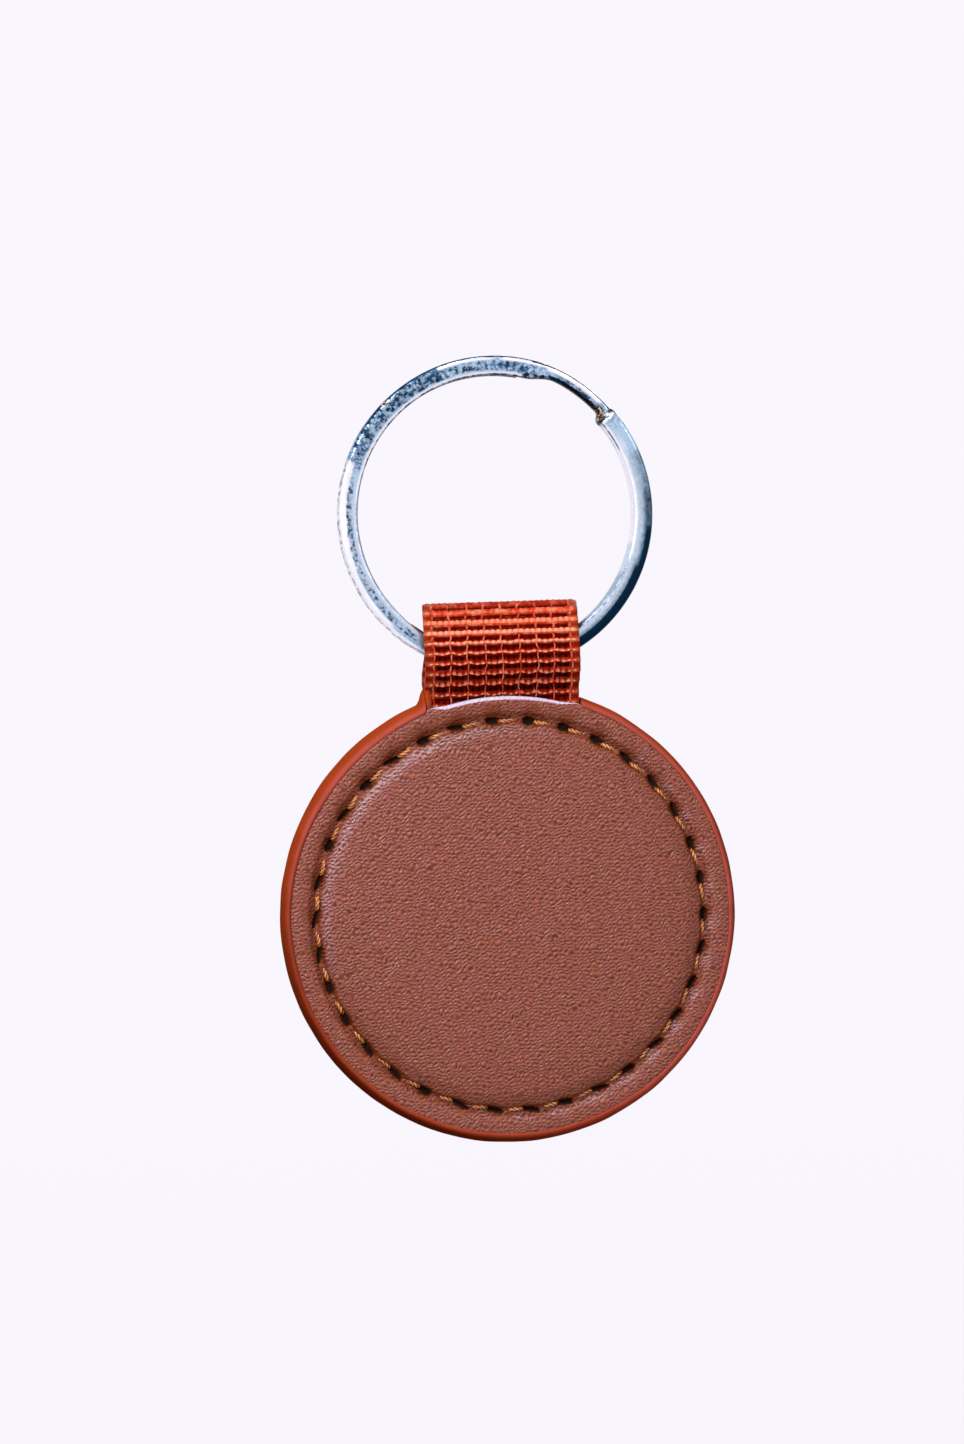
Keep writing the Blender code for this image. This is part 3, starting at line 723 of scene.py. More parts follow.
class StrapPath:
    """Centre line of the folded strap, measured in ribs from the top of the fold."""

    def __init__(self, look):
        self.lean = look.lean
        self.skew = look.skew
        belly = LOOP_HIGH.y - STRAP_THICKNESS / 2
        top = LOOP_HIGH.z - SWING_Z - STRAP_THICKNESS / 2
        fold = look.fold_radius
        fold_z = top - fold
        upper = asin((belly - fold) / fold_z)
        foot = Vector((PLY_CENTRE, FLEX_Z - SWING_Z - PLIES_MEET))
        leaving = atan2(foot.x, -foot.y) + acos(belly / foot.length)
        points = self.arc(fold_z, fold, 0.0, pi / 2 - upper)
        points += self.arc(0.0, belly, pi / 2 - upper, pi - leaving)
        tail_end = TAIL_LOW.z - SWING_Z
        for target in (foot, Vector((PLY_CENTRE, tail_end))):
            start = Vector(points[-1])
            count = ceil((target - start).length / PATH_STEP)
            points += [tuple(start.lerp(target, (i + 1) / count)) for i in range(count)]
        half = np.array(points)
        whole = np.concatenate([half[:0:-1], half * (-1, 1)])
        lengths = running_lengths(whole)
        count = 2 * round(lengths[-1] / PATH_STEP / 2) + 1
        whole = course_at(np.linspace(0, lengths[-1], count), lengths, whole)
        reach = round(PATH_SMOOTHING / PATH_STEP)
        kernel = soft_kernel(2 * reach + 1)
        padded = np.pad(whole, ((reach, reach), (0, 0)), mode="reflect", reflect_type="odd")
        whole = np.stack([np.convolve(padded[:, k], kernel, "valid") for k in (0, 1)], axis=1)
        step = np.gradient(whole, axis=0)
        length = np.linalg.norm(step, axis=1)
        tangent = step / length[:, None]
        self.points = whole
        self.normals = np.stack([tangent[:, 1], -tangent[:, 0]], axis=1)
        outer_z = whole[:, 1] + self.normals[:, 1] * STRAP_THICKNESS / 2
        fall = np.abs(np.gradient(outer_z))
        spaced = np.maximum(fall, LEVEL_SHARE * length) / look.rib_pitch
        ribs = np.concatenate([[0.0], np.cumsum((spaced[1:] + spaced[:-1]) / 2)])
        self.ribs = ribs - ribs[len(ribs) // 2]
        self.reach = min(self.ribs[-1], -self.ribs[0]) - END_ALLOWANCE

    @staticmethod
    def arc(centre_z, radius, start, stop):
        count = ceil(radius * (stop - start) / PATH_STEP)
        angles = np.linspace(start, stop, count + 1)
        return [(radius * sin(a), centre_z + radius * cos(a)) for a in angles]

    def bend(self, bm):
        """Move a flat weave, laid out as across, ribs and height, onto the path."""
        verts = bm.verts[:]
        flat = np.array([vert.co for vert in verts])
        y, z, out_y, out_z = (
            np.interp(flat[:, 1], self.ribs, column)
            for column in (*self.points.T, *self.normals.T))
        y = y + out_y * flat[:, 2]
        z = z + out_z * flat[:, 2] + SWING_Z
        for vert, x, new_y, new_z in zip(verts, flat[:, 0], y, z):
            above = max(new_z - FLEX_Z, 0.0)
            skew = self.skew * (new_y / MM + SKEW_START) * ease(above / SKEW_FADE)
            vert.co = (x - self.lean * above + skew, new_y, new_z)


def straight_tube(sides, reach, steps):
    """A tube of radius 1 along Y, cut into steps."""
    bm = bmesh.new()
    bmesh.ops.create_cone(
        bm, cap_ends=True, cap_tris=False, segments=sides, radius1=1, radius2=1,
        depth=2 * reach, matrix=Matrix.Rotation(pi / 2, 4, "X"))
    long_edges = [e for e in bm.edges if abs(e.verts[0].co.y - e.verts[1].co.y) > reach]
    bmesh.ops.subdivide_edges(bm, edges=long_edges, cuts=steps - 1, use_grid_fill=True)
    return bm


def repeat(bm, step, count):
    """Copy all geometry count - 1 times, each copy a step further."""
    first = bm.verts[:] + bm.edges[:] + bm.faces[:]
    for index in range(1, count):
        copy = bmesh.ops.duplicate(bm, geom=first)["geom"]
        moved = [item for item in copy if isinstance(item, bmesh.types.BMVert)]
        bmesh.ops.translate(bm, verts=moved, vec=Vector(step) * index)


def mark_weave(bm):
    """Keep the flat place of every vertex for the yarn's colours."""
    place = bm.verts.layers.float_vector.new("weave")
    for vert in bm.verts:
        across, rib, up = vert.co
        vert[place] = (across / MM, rib, up / MM)


def yarn_noise(across, rib, size):
    """Small steady unevenness of a yarn."""
    return size * noise.noise((across / MM * 3.1, rib * 1.7, 0.5))


def tight(rib):
    """0 near the fold, 1 further down, where the binders stand out."""
    return ease((abs(rib) - 2.5) / 2.5)


def rib_level(rib):
    """Height of the warp from 0 in a valley to 1 on a crest; ribs count away from the fold.

    Going down from a crest the warp drops at once, runs low, and then climbs more gently.
    The crests near the fold are broader.
    """
    low = tight(rib)
    hold = 0.08 * (1 - low)
    share = abs(rib) % 1.0
    return 1 - ease((share - hold) / (0.24 - 0.05 * low)) + ease(
        (share - 0.46 + hold - 0.1 * low) / (0.44 - 0.06 * low))


def fold_shade(rib):
    """Painted shade: duller yarn on top of the fold."""
    return 0.3 + 0.7 * ease((abs(rib) - 0.6) / 0.6)


def tooth_gap(rib):
    """How far the warp yarns stand apart, like teeth, where they climb to a crest."""
    low = ease((abs(rib) - 4) / 3)
    share = abs(rib) % 1.0
    return (0.27 + 0.12 * low) * hump(share, 0.66 + 0.08 * low, 0.15 + 0.02 * low)


def build_warp(look, path, half_height, spacing):
    """Warp yarns, all in step, so that their crests make level ribs."""
    half_warp = look.warp_thickness / 2
    swing = half_height - half_warp
    yarn_count = look.columns * look.column_yarns + 2

    def middle_height(rib):
        return swing * (1.75 * rib_level(rib) - 0.75)

    def half_width(rib):
        return spacing * (0.64 - tooth_gap(rib))

    warp = straight_tube(8, path.reach, ceil(2 * path.reach * WARP_STEPS))
    height = warp.verts.layers.float.new("rib_shade_and_glint")
    for vert in warp.verts:
        side, rib, up = vert.co
        vert.co = (side * half_width(rib), rib, middle_height(rib) + up * half_warp)
    for vert in warp.verts:
        rib = vert.co.y
        # Painted shade and glints: low yarn and each yarn's sides are darker, and crests away from
        # the fold get a painted glint on their upper side
        climb = rib_level(abs(rib) - 0.03) * fold_shade(rib)
        on_top = (vert.co.z - middle_height(rib)) / half_warp
        further = min(max(0.2 * (abs(rib) - 0.6), 0.0), 1.0)
        painted_glint = ease((climb - 0.75) / 0.25) * further + 0.6 * hump(abs(rib), 0.6, 0.1)
        painted_glint *= ease((on_top - 0.2) / 0.5)
        low = ease((abs(rib) - 3) / 4)
        side = vert.co.x / half_width(rib)
        climb = min(1.0, 1.15 * climb) ** (1 + 1.6 * low) + 0.3 * painted_glint
        climb *= 1 - (0.16 + 0.74 * low) * side ** 2
        vert[height] = climb if vert.co.z > -swing else 0.0
    bmesh.ops.translate(warp, verts=warp.verts, vec=(-spacing * (yarn_count - 1) / 2, 0, 0))
    repeat(warp, (spacing, 0, 0), yarn_count)
    mark_weave(warp)
    for vert in warp.verts:
        x, rib, _ = vert.co
        yarn_number = round(x / spacing + yarn_count / 2)
        vert.co.x += yarn_noise(x, rib, 0.05 * MM)
        vert.co.y -= 0.06 * cos(2 * pi * x / look.column_width) * np.sign(rib) * tight(rib)
        vert.co.y += 0.07 * noise.noise((yarn_number * 0.9, rib * 0.4, 8.5))
        vert.co.z += yarn_noise(x + 40 * MM, rib, 0.03 * MM)
    path.bend(warp)
    return warp


def build_filling(look, path, half_height):
    """Weft rods inside the ribs, the dense ground under them and the plain selvedges."""
    filling = bmesh.new()
    inner_half = look.columns * look.column_width / 2
    weft = straight_tube(8, inner_half, 12)
    bmesh.ops.rotate(weft, verts=weft.verts, cent=(0, 0, 0), matrix=Matrix.Rotation(pi / 2, 3, "Z"))
    bmesh.ops.scale(weft, verts=weft.verts, vec=(1, 0.3, 0.3 * half_height))
    count = int(path.reach - 0.4)
    bmesh.ops.translate(weft, verts=weft.verts, vec=(0, -count, 0.15 * half_height))
    repeat(weft, (0, 1, 0), 2 * count + 1)
    absorb(filling, weft)
    half_band = (STRAP_HALF_WIDTH - inner_half) / 2 + 0.12 * MM
    centre = STRAP_HALF_WIDTH - half_band
    bands = [(-centre, half_band, half_height, 0.0), (centre, half_band, half_height, 0.0),
             (0.0, inner_half, 0.05 * MM, 0.05 * MM - half_height)]
    for middle, half_wide, half_thick, level in bands:
        band = straight_tube(16, path.reach, ceil(2 * path.reach * SELVEDGE_STEPS))
        for vert in band.verts:
            across, rib, up = vert.co
            across, up = (np.sign(v) * abs(v) ** 0.4 for v in (across, up))
            swell = 0.9 - 0.24 * (1 - rib_level(rib)) if up > 0 and middle else 0.9
            edge = 1 - 0.05 * (1 - rib_level(rib)) if middle else 1.0
            vert.co = (
                middle + across * half_wide * (edge if across * middle > 0 else 1.0),
                rib, level + up * half_thick * swell)
        absorb(filling, band)
    mark_weave(filling)
    height = filling.verts.layers.float.new("rib_shade_and_glint")
    # Painted shade: the weft rods and the ground keep the valley's shade, the selvedges follow the
    # ribs
    for vert in filling.verts:
        if abs(vert.co.x) > inner_half - 0.2 * MM:
            climb = rib_level(abs(vert.co.y) - 0.03)
            vert[height] = (0.1 + 0.9 * climb) * (0.4 + 0.6 * fold_shade(vert.co.y))
        else:
            vert[height] = 0.1
    path.bend(filling)
    return filling


def build_binders(look, path, half_height):
    """Thin threads that stand over the valleys between the columns."""
    binders = bmesh.new()
    radius = look.binder_diameter / 2
    for index in range(look.columns + 1):
        x = (index - look.columns / 2) * look.column_width
        tube = straight_tube(6, path.reach, ceil(2 * path.reach * BINDER_STEPS))
        for vert in tube.verts:
            across, rib, up = vert.co
            sway = 0.2 * MM * noise.noise((index * 2.3, rib * 1.6, 4.5))
            sunk = 0.35 * (1 - tight(rib)) - 0.06
            level = half_height * (0.62 + 0.08 * tight(rib) - sunk * rib_level(rib))
            thin = radius * (1.45 - 0.6 * tight(rib))
            vert.co = (x + sway + across * thin, rib, level + up * thin)
        absorb(binders, tube)
    mark_weave(binders)
    height = binders.verts.layers.float.new("rib_shade_and_glint")
    # Painted shade on the binders where they sink into the ribs near the fold
    for vert in binders.verts:
        rib = vert.co.y
        uneven = noise.noise((vert.co.x / MM, rib * 1.6, 2.5))
        buried = 0.4 * rib_level(rib) * (1 - tight(rib))
        shade = 0.7 + 0.15 * tight(rib) + 0.5 * uneven - buried
        vert[height] = min(max(shade, 0.1), 1.1)
    path.bend(binders)
    return binders


def build_webbing(look):
    """The strap's three kinds of yarn, which bend together at the mouth of the fob."""
    path = StrapPath(look)
    half_height = STRAP_THICKNESS / 2
    spacing = look.column_width / look.column_yarns
    warp = build_warp(look, path, half_height, spacing)
    filling = build_filling(look, path, half_height)
    binders = build_binders(look, path, half_height)
    looks = [
        (warp, "webbing_warp", look.crest, 0.45,
         ["webbing_loop", "webbing_tail_front", "webbing_tail_rear"]),
        (filling, "webbing_selvedge", look.selvedge, 0.15, []),
        (binders, "webbing_binders", look.crest, 0.4, [])]
    for bm, name, base, painted_glint_share, replaced in looks:
        bmesh.ops.recalc_face_normals(bm, faces=bm.faces)
        material = webbing_finish(look, "rust_" + name, base, painted_glint_share)
        piece = finish_piece(bm, name, material, replaced=replaced)
        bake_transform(piece)


# Leather fob

# The seam's circle and the lip inside it, the channel's floor, the crown's height at the
# lip and its roll before the lip, the margin's puff, the cut at the mouth and the holes
SEAM_RADIUS = (THREAD_HIGH.x - THREAD_LOW.x) / 2 - 0.18 * MM
LIP_RADIUS = SEAM_RADIUS - 0.32 * MM
CHANNEL_FLOOR = FACE - 0.4 * MM
CROWN_EDGE = 2.92 * MM
ROLL_WIDTH = 1.35 * MM
ROLL_ONSET = 0.4 * MM
ROLL_SLOPE = 0.43
MARGIN_PUFF = 0.12 * MM
MOUTH_TRIM = 0.26 * MM
HOLE_DEPTH = 1.1 * MM
HOLE_WOBBLE = 0.018 * MM
RIM_STEPS_PER_STITCH = 24
CROWN_SECTORS = 8
CROWN_STEPS = 17
CROWN_JOIN = 15.6 * MM


def hole_angles(seam):
    """Angles of the needle holes, clockwise from the top."""
    return [seam.first_hole + index * 2 * pi / seam.stitches for index in range(seam.stitches)]


def hole_half_width(seam, along):
    """Half the width of a needle hole: blunt behind, drawn out to a point ahead."""
    places = np.array([-0.6, -0.5, -0.2, 0.25, 0.6, 1.0]) * seam.hole_length
    widths = np.array([-0.2, 0.6, 1.0, 0.75, 0.35, -0.2]) * seam.hole_width / 2
    return float(np.interp(along, places, widths))


def from_hole(seam, angle):
    """Number of the nearest needle hole, and the clockwise distance from it along the seam."""
    pitch = 2 * pi / seam.stitches
    index = round((angle - seam.first_hole) / pitch)
    return index % seam.stitches, (angle - seam.first_hole - index * pitch) * SEAM_RADIUS


def leather_surface(corner, radius):
    """Height of a panel's face near its rounded outer edge."""
    over = max(radius - (PANEL_RADIUS - corner), 0.0)
    return FACE - corner + sqrt(max(corner ** 2 - over ** 2, 0.0))


def crown_height(crowned, radius):
    """Height of a panel's middle: domed over the pad in front, flat at the back."""
    if not crowned:
        return FACE
    share = min(radius / PAD_RADIUS, 1.0)
    into_roll = max(radius - (LIP_RADIUS - ROLL_WIDTH), 0.0)
    drop = ROLL_SLOPE * (hypot(into_roll, ROLL_ONSET) - ROLL_ONSET)
    return CROWN_EDGE + (CROWN_TOP - CROWN_EDGE) * (1 - share ** 4) - drop


def face_height(crowned, radius):
    """Height of a panel's face across the crown, the sewn channel and the margin."""
    shoulder = ease((radius - (LIP_RADIUS - 0.26 * MM)) / (0.5 * MM))
    inner = crown_height(crowned, min(radius, LIP_RADIUS))
    inner += (CHANNEL_FLOOR - inner) * shoulder ** 1.8
    outer = ease((radius - SEAM_RADIUS - 0.1 * MM) / (0.75 * MM))
    height = inner + (FACE - CHANNEL_FLOOR) * outer
    if crowned:
        over_margin = (radius - SEAM_RADIUS - 0.5 * MM) / (2 * MM)
        height += MARGIN_PUFF * sin(pi * min(max(over_margin, 0.0), 1.0))
    return height


def panel_profile(crowned, corner):
    """Section of a panel outside its middle disc, as radius and height."""
    crown = np.arange(CROWN_JOIN, LIP_RADIUS - 0.9 * MM, 0.16 * MM)
    channel = np.arange(LIP_RADIUS - 0.9 * MM, SEAM_RADIUS + 1.0 * MM, 0.07 * MM)
    margin = np.arange(SEAM_RADIUS + 1.0 * MM, PANEL_RADIUS - corner, 0.15 * MM)
    profile = [(radius, face_height(crowned, radius)) for radius in (*crown, *channel, *margin)]
    profile += [
        (PANEL_RADIUS - corner + corner * sin(turn), FACE - corner + corner * cos(turn))
        for turn in np.linspace(0, pi / 2, 9)]
    profile += [(PANEL_RADIUS, INNER_FACE + 0.3 * MM), (PANEL_RADIUS - 0.04 * MM, INNER_FACE)]
    if crowned:
        recess = PAD_RADIUS + 0.2 * MM
        return profile + [(recess, INNER_FACE), (recess, INNER_FACE + 0.45 * MM)]
    return profile + [(CROWN_JOIN, INNER_FACE)]


def panel_body(side, corner, stitches):
    """A panel before it is sewn: a spun rim bridged to a disc above and a disc below."""
    crowned = side < 0
    bm = bmesh.new()
    profile = panel_profile(crowned, corner)
    chain = add_chain(bm, [(0.0, side * height, radius) for radius, height in profile])
    spin_sectors(bm, chain, 2 * pi, stitches, RIM_STEPS_PER_STITCH)
    under = INNER_FACE + 0.25 * MM if crowned else INNER_FACE
    lift = 0.7 * (CROWN_TOP - FACE) if crowned else 0.0
    radii = np.linspace(0, CROWN_JOIN - 0.6 * MM, 12)
    top_disc = [(radius, crown_height(crowned, radius)) for radius in radii]
    under_disc = [(radius, under + lift * (1 - (radius / PAD_RADIUS) ** 3))
                  for radius in radii[::2]]
    for disc in (top_disc, under_disc):
        middle = bmesh.new()
        chain = add_chain(middle, [(0.0, side * height, radius) for radius, height in disc])
        spin_sectors(middle, chain, 2 * pi, CROWN_SECTORS, CROWN_STEPS)
        absorb(bm, middle)
    loops = open_loops(bm)
    loops.sort(key=lambda loop: side * loop[0].verts[0].co.y, reverse=True)
    bmesh.ops.bridge_loops(bm, edges=loops[0] + loops[1])
    bmesh.ops.bridge_loops(bm, edges=loops[2] + loops[3])
    return bm


def sew_panel(bm, seam, side):
    """Press the seam and its needle holes into a panel and note what the material shows."""
    crowned = side < 0
    shade, pit, bare, plain, painted_sheen = add_values(
        bm, "seam_shade", "hole_shade", "bare_edge", "stretched", "painted_sheen")
    mouth = asin((STRAP_HALF_WIDTH - 0.1 * MM) / PANEL_RADIUS)
    for vert in bm.verts:
        x, y, z = vert.co
        radius, angle = hypot(x, z), atan2(x, z)
        height = side * y
        if height < INNER_FACE + 0.5 * MM and radius < PANEL_RADIUS - 0.2 * MM:
            continue
        index, along = from_hole(seam, angle)
        odd = noise.noise((index * 1.7, side, 0.5))
        off_seam = radius - SEAM_RADIUS
        near = hump(along, 0.1 * MM, 0.85 * MM)

        # A bridge of leather between two holes, a dent at each hole, and the hole itself
        bridge = hump(along, -1.15 * MM, 0.5 * MM) * hump(off_seam, -0.08 * MM, 0.42 * MM)
        height += 0.12 * MM * bridge
        dent = 0.14 * MM * near * hump(off_seam, 0.35 * MM, 0.6 * MM)
        tilted = off_seam + (0.12 + 0.2 * odd) * along
        inside = (1 - 0.5 * odd) * hole_half_width(seam, along / (1 + 0.5 * odd)) - abs(tilted)
        wobble = HOLE_WOBBLE * noise.noise((x * 160, z * 160, 0.3 + side))
        hole = ease((inside + 0.03 * MM) / (0.14 * MM))
        deep = max(
            height - dent + wobble - hole * HOLE_DEPTH, min(height, INNER_FACE + 0.08 * MM))
        tug = hump(radius, LIP_RADIUS - 0.05 * MM, 0.4 * MM)
        radius += (0.07 * hump(along, 1.5 * MM, 0.7 * MM) - 0.1 * near) * MM * tug
        vert.co = (radius * sin(angle), side * deep, radius * cos(angle))

        # Painted shade: darker leather outside the seam towards the upper left, inside it towards the
        # lower right and round each hole, spread wider near the mouth, where the strap shades the
        # margin
        spread = 1.35 * MM + 1.3 * MM * hump(angle, -0.1, 0.6)
        outside = ease(1 - abs(off_seam - 0.35 * MM) / spread)
        above = ease(0.25 + 0.9 * cos(angle - radians(338)))
        low_side = 0.4 * hump(off_seam, -0.5 * MM, 0.9 * MM)
        low_side += 0.16 * hump(off_seam, -1.5 * MM, 3 * MM)
        low_side += 0.3 * hump(off_seam, -0.12 * MM, 0.35 * MM)
        top = 0.34 + 0.1 * hump(angle, 0.1, 0.6)
        halo = 0.75 * ease((inside + 0.45 * MM) / (0.45 * MM))
        vert[shade] = min(
            1.0, above * outside * (top + 0.6 * near) + low_side * (1 - above) + halo)

        # Painted sheen: pale lilac highlights on the crown's rim towards the upper left and on the
        # puckers outside the stitches towards the lower right
        crown_rim = hump(off_seam, -0.94 * MM, 0.46 * MM)
        crown_rim *= ease(1.3 * cos(angle - radians(312)) - 0.35)
        pucker = hump(off_seam, 0.62 * MM, 0.32 * MM) * hump(along, 0.8 * MM, 0.7 * MM)
        pucker *= ease(0.3 + 0.9 * cos(angle - radians(115)))
        vert[painted_sheen] = 0.4 * max(crown_rim, pucker) if crowned else 0.0

        # Painted shade in the needle holes and in a strip beside each float of thread
        beside_thread = hump(along, 1.2 * MM, 0.7 * MM) * hump(off_seam, -0.1 * MM, 0.34 * MM)
        vert[pit] = max(ease((inside + 0.13 * MM) / (0.24 * MM)), 0.6 * beside_thread)
        vert[plain] = max(hump(off_seam, -0.3 * MM, 0.2 * MM), 0.8 * outside * near)

        # The cut edge at the mouth, bare of paint and trimmed a little in front
        from_mouth_end = max(mouth - abs(angle), 0.0)
        mouth_share = ease(from_mouth_end / radians(6))
        width = (0.34 - 0.08 * angle / mouth) * MM * mouth_share
        if radius > PANEL_RADIUS - 0.7 * MM and from_mouth_end > 0:
            vert[bare] = ease((radius - PANEL_RADIUS + width) / (0.08 * MM) + 0.5)
        if crowned and from_mouth_end > 0:
            trimmed = MOUTH_TRIM * mouth_share
            radius -= trimmed * ease((radius - PANEL_RADIUS) / (1.2 * MM) + 1)
            vert.co = (radius * sin(angle), side * deep, radius * cos(angle))


def build_leather(look, seam):
    """The crowned front panel on side -1 and the flat back panel on side 1."""
    material = leather_finish(look)
    panels = [(-1, "leather_front", "front_panel"), (1, "leather_back", "back_panel")]
    for side, name, solid in panels:
        bm = panel_body(side, look.corner, seam.stitches)
        sew_panel(bm, seam, side)
        settle_on_fob(bm)
        finish_piece(bm, name, material, "fob", [solid])


def build_padding():
    """Crowned foam disc under the front leather."""
    bm = bmesh.new()
    thickness = PAD_HIGH.y - PAD_LOW.y
    edge = 0.3 * MM
    flat_radius = PAD_RADIUS * 0.985
    profile = [(radius, edge + (thickness - edge) * (1 - (radius / PAD_RADIUS) ** 3))
               for radius in np.linspace(0, flat_radius, 14)]
    profile += [(PAD_RADIUS, edge * 0.7), (PAD_RADIUS, edge * 0.2), (flat_radius, 0.0)]
    profile += [(0.0, 0.0)]
    points = [(0.0, PAD_HIGH.y - height, radius) for radius, height in profile]
    bmesh.ops.spin(
        bm, geom=add_chain(bm, points), cent=(0, 0, 0), axis=(0, 1, 0), angle=2 * pi, steps=120,
        use_merge=True)
    bmesh.ops.remove_doubles(bm, verts=bm.verts, dist=WELD)
    settle_on_fob(bm)
    piece = finish_piece(bm, "padding_disc", foam_finish(), "fob", ["foam_pad"])


# Edge paint

# Where the paint's lap lies on the front leather: angle clockwise from the top, and radius
LAP_COURSE = [(20, 20.72), (40, 20.8), (80, 20.84), (130, 20.8), (165, 20.62), (205, 20.6),
              (240, 20.74), (270, 20.8), (290, 20.72), (310, 20.5), (330, 20.46), (341, 20.62)]
COAT_SCREW = 8 * MM
COAT_SECTORS = 32
COAT_STEPS = 20


def lap_radius(angle):
    """Radius where the paint's lap ends on the leather."""
    degrees, radii = zip(*LAP_COURSE)
    wander = 0.07 * noise.noise((sin(angle) * 6, cos(angle) * 6, 2.5))
    return (float(np.interp(np.degrees(angle), degrees, radii)) + wander) * MM


def coat_section():
    """Section of the coat from its lap round the edge: outward share, and height share."""
    skin = [(0.0, -0.06), (0.05, 1.0), (0.2, 1.01), (0.36, 0.985), (0.52, 0.93), (0.66, 0.82),
            (0.79, 0.66), (0.9, 0.46), (0.97, 0.24), (1.0, 0.0)]
    rear = [(share, -height) for share, height in reversed(skin[:-1])]
    return skin + rear + [(-0.12, -0.6), (-0.12, 0.6)]


def build_edge_paint(look, corner):
    """Coat round the edge from one side of the strap to the other, with its lip."""
    start = asin((STRAP_HALF_WIDTH + 0.12 * MM) / (PANEL_RADIUS + 0.5 * MM))
    stop = 2 * pi - start
    sections = COAT_SECTORS * COAT_STEPS
    limit = STRAP_HALF_WIDTH + 0.06 * MM
    bm = bmesh.new()
    verts = [bm.verts.new((0.0, -height * MM, 1.0 + share)) for share, height in coat_section()]
    geom = verts + [bm.edges.new(pair) for pair in zip(verts, verts[1:] + verts[:1])]
    spin_sectors(bm, geom, stop - start, COAT_SECTORS, COAT_STEPS, COAT_SCREW)
    bmesh.ops.holes_fill(bm, edges=bm.edges, sides=0)
    lap, shade_and_lap_line = add_values(bm, "lap", "shade_and_lap_line")
    for vert in bm.verts:
        x, y, z = vert.co
        index = round(y / COAT_SCREW)
        height = (y - index * COAT_SCREW) / MM
        share = hypot(x, z) - 1.0
        angle = start + (stop - start) * index / sections
        low = lap_radius(angle)
        lap_height = leather_surface(corner, low)
        if share < -0.001:
            radius, y = PANEL_RADIUS + 0.03 * MM, height * INNER_FACE
        elif share < 0.01:
            radius, y = low - 0.03 * MM, np.sign(height) * (lap_height - 0.06 * MM)
        else:
            radius = low + share * (PAINT_RADIUS - low)
            radius += share * 0.05 * MM * noise.noise((sin(angle) * 9, cos(angle) * 9, height))
            y = height * (lap_height + 0.03 * MM)
        x, z = radius * sin(angle), radius * cos(angle)
        from_end = (stop - angle) * PANEL_RADIUS
        lip = ease(1 - from_end / look.lip_length) * hump(height, -0.45, 0.5) * max(share, 0.0)
        z += look.lip_height * lip
        if z > 0 and abs(x) < limit:
            x = limit if x > 0 else -limit
        vert.co = (x, y, z)
        # Painted sheen: the lap turns pink, less so towards the lower left
        vert[lap] = ease((0.72 - share) / 0.36) if height < 0 else 0.0
        vert[lap] *= 1 - 0.7 * ease(0.1 + cos(angle - radians(215)))
        # Painted shade on the coat's outer underside towards the lower left, and a dark line where
        # the lap ends towards the upper left
        underside = ease(-0.1 - cos(angle - radians(30)))
        lap_end = 0.6 * ease((0.3 - share) / 0.15) * ease(0.2 + cos(angle - radians(310)))
        vert[shade_and_lap_line] = max(0.92 * underside * ease((share - 0.12) / 0.42), lap_end)
    settle_on_fob(bm)
    material = paint_finish(look)
    finish_piece(bm, "edge_paint_coat", material, "fob", ["edge_paint"])
    build_paint_smear(look, material)


def build_paint_smear(look, material):
    """Paint that ran up the strap's left selvedge from the end of the coat."""
    bm = bmesh.new()
    bmesh.ops.create_uvsphere(bm, u_segments=28, v_segments=20, radius=1.0)
    base_z = PANEL_RADIUS - 1.45 * MM
    height = look.lip_height + 1.0 * MM
    for vert in bm.verts:
        x, y, z = vert.co
        rise = (z + 1) / 2
        half_wide = (0.62 - 0.3 * rise) * MM
        middle = -STRAP_HALF_WIDTH + (0.12 + 0.2 * rise) * MM
        depth = (0.85 - 0.55 * rise) * MM
        wander = 0.05 * MM * noise.noise((x * 1.3, y * 1.3, z * 1.6))
        vert.co = (
            middle + x * half_wide + wander, -PLY_CENTRE - (0.75 - 0.6 * rise) * MM + y * depth,
            base_z + rise * height)
    lap = bm.verts.layers.float.new("lap")
    for vert in bm.verts:
        # Painted sheen on the smear's lower part
        vert[lap] = 0.7 * ease(1 - (vert.co.z - base_z) / (0.55 * height))
    settle_on_fob(bm)
    piece = finish_piece(bm, "edge_paint_smear", material)
    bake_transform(piece)


# Seam threads

# One stitch, in millimetres: distance along the seam from a needle hole, depth under the
# thread's highest part, and distance inwards from the seam's circle
STITCH_SHAPE = [(0.0, 1.25, 0.0), (0.35, 0.9, 0.05), (0.6, 0.45, 0.1), (0.8, 0.12, 0.14),
                (1.1, 0.0, 0.16), (1.45, 0.03, 0.14), (1.75, 0.18, 0.1), (2.05, 0.42, 0.06),
                (2.4, 0.75, 0.0), (3.0, 1.1, 0.0)]
STITCH_POINTS = 60
COURSE_STEP = 0.11 * MM
THREAD_SINK = 0.27 * MM
STRANDS = 3


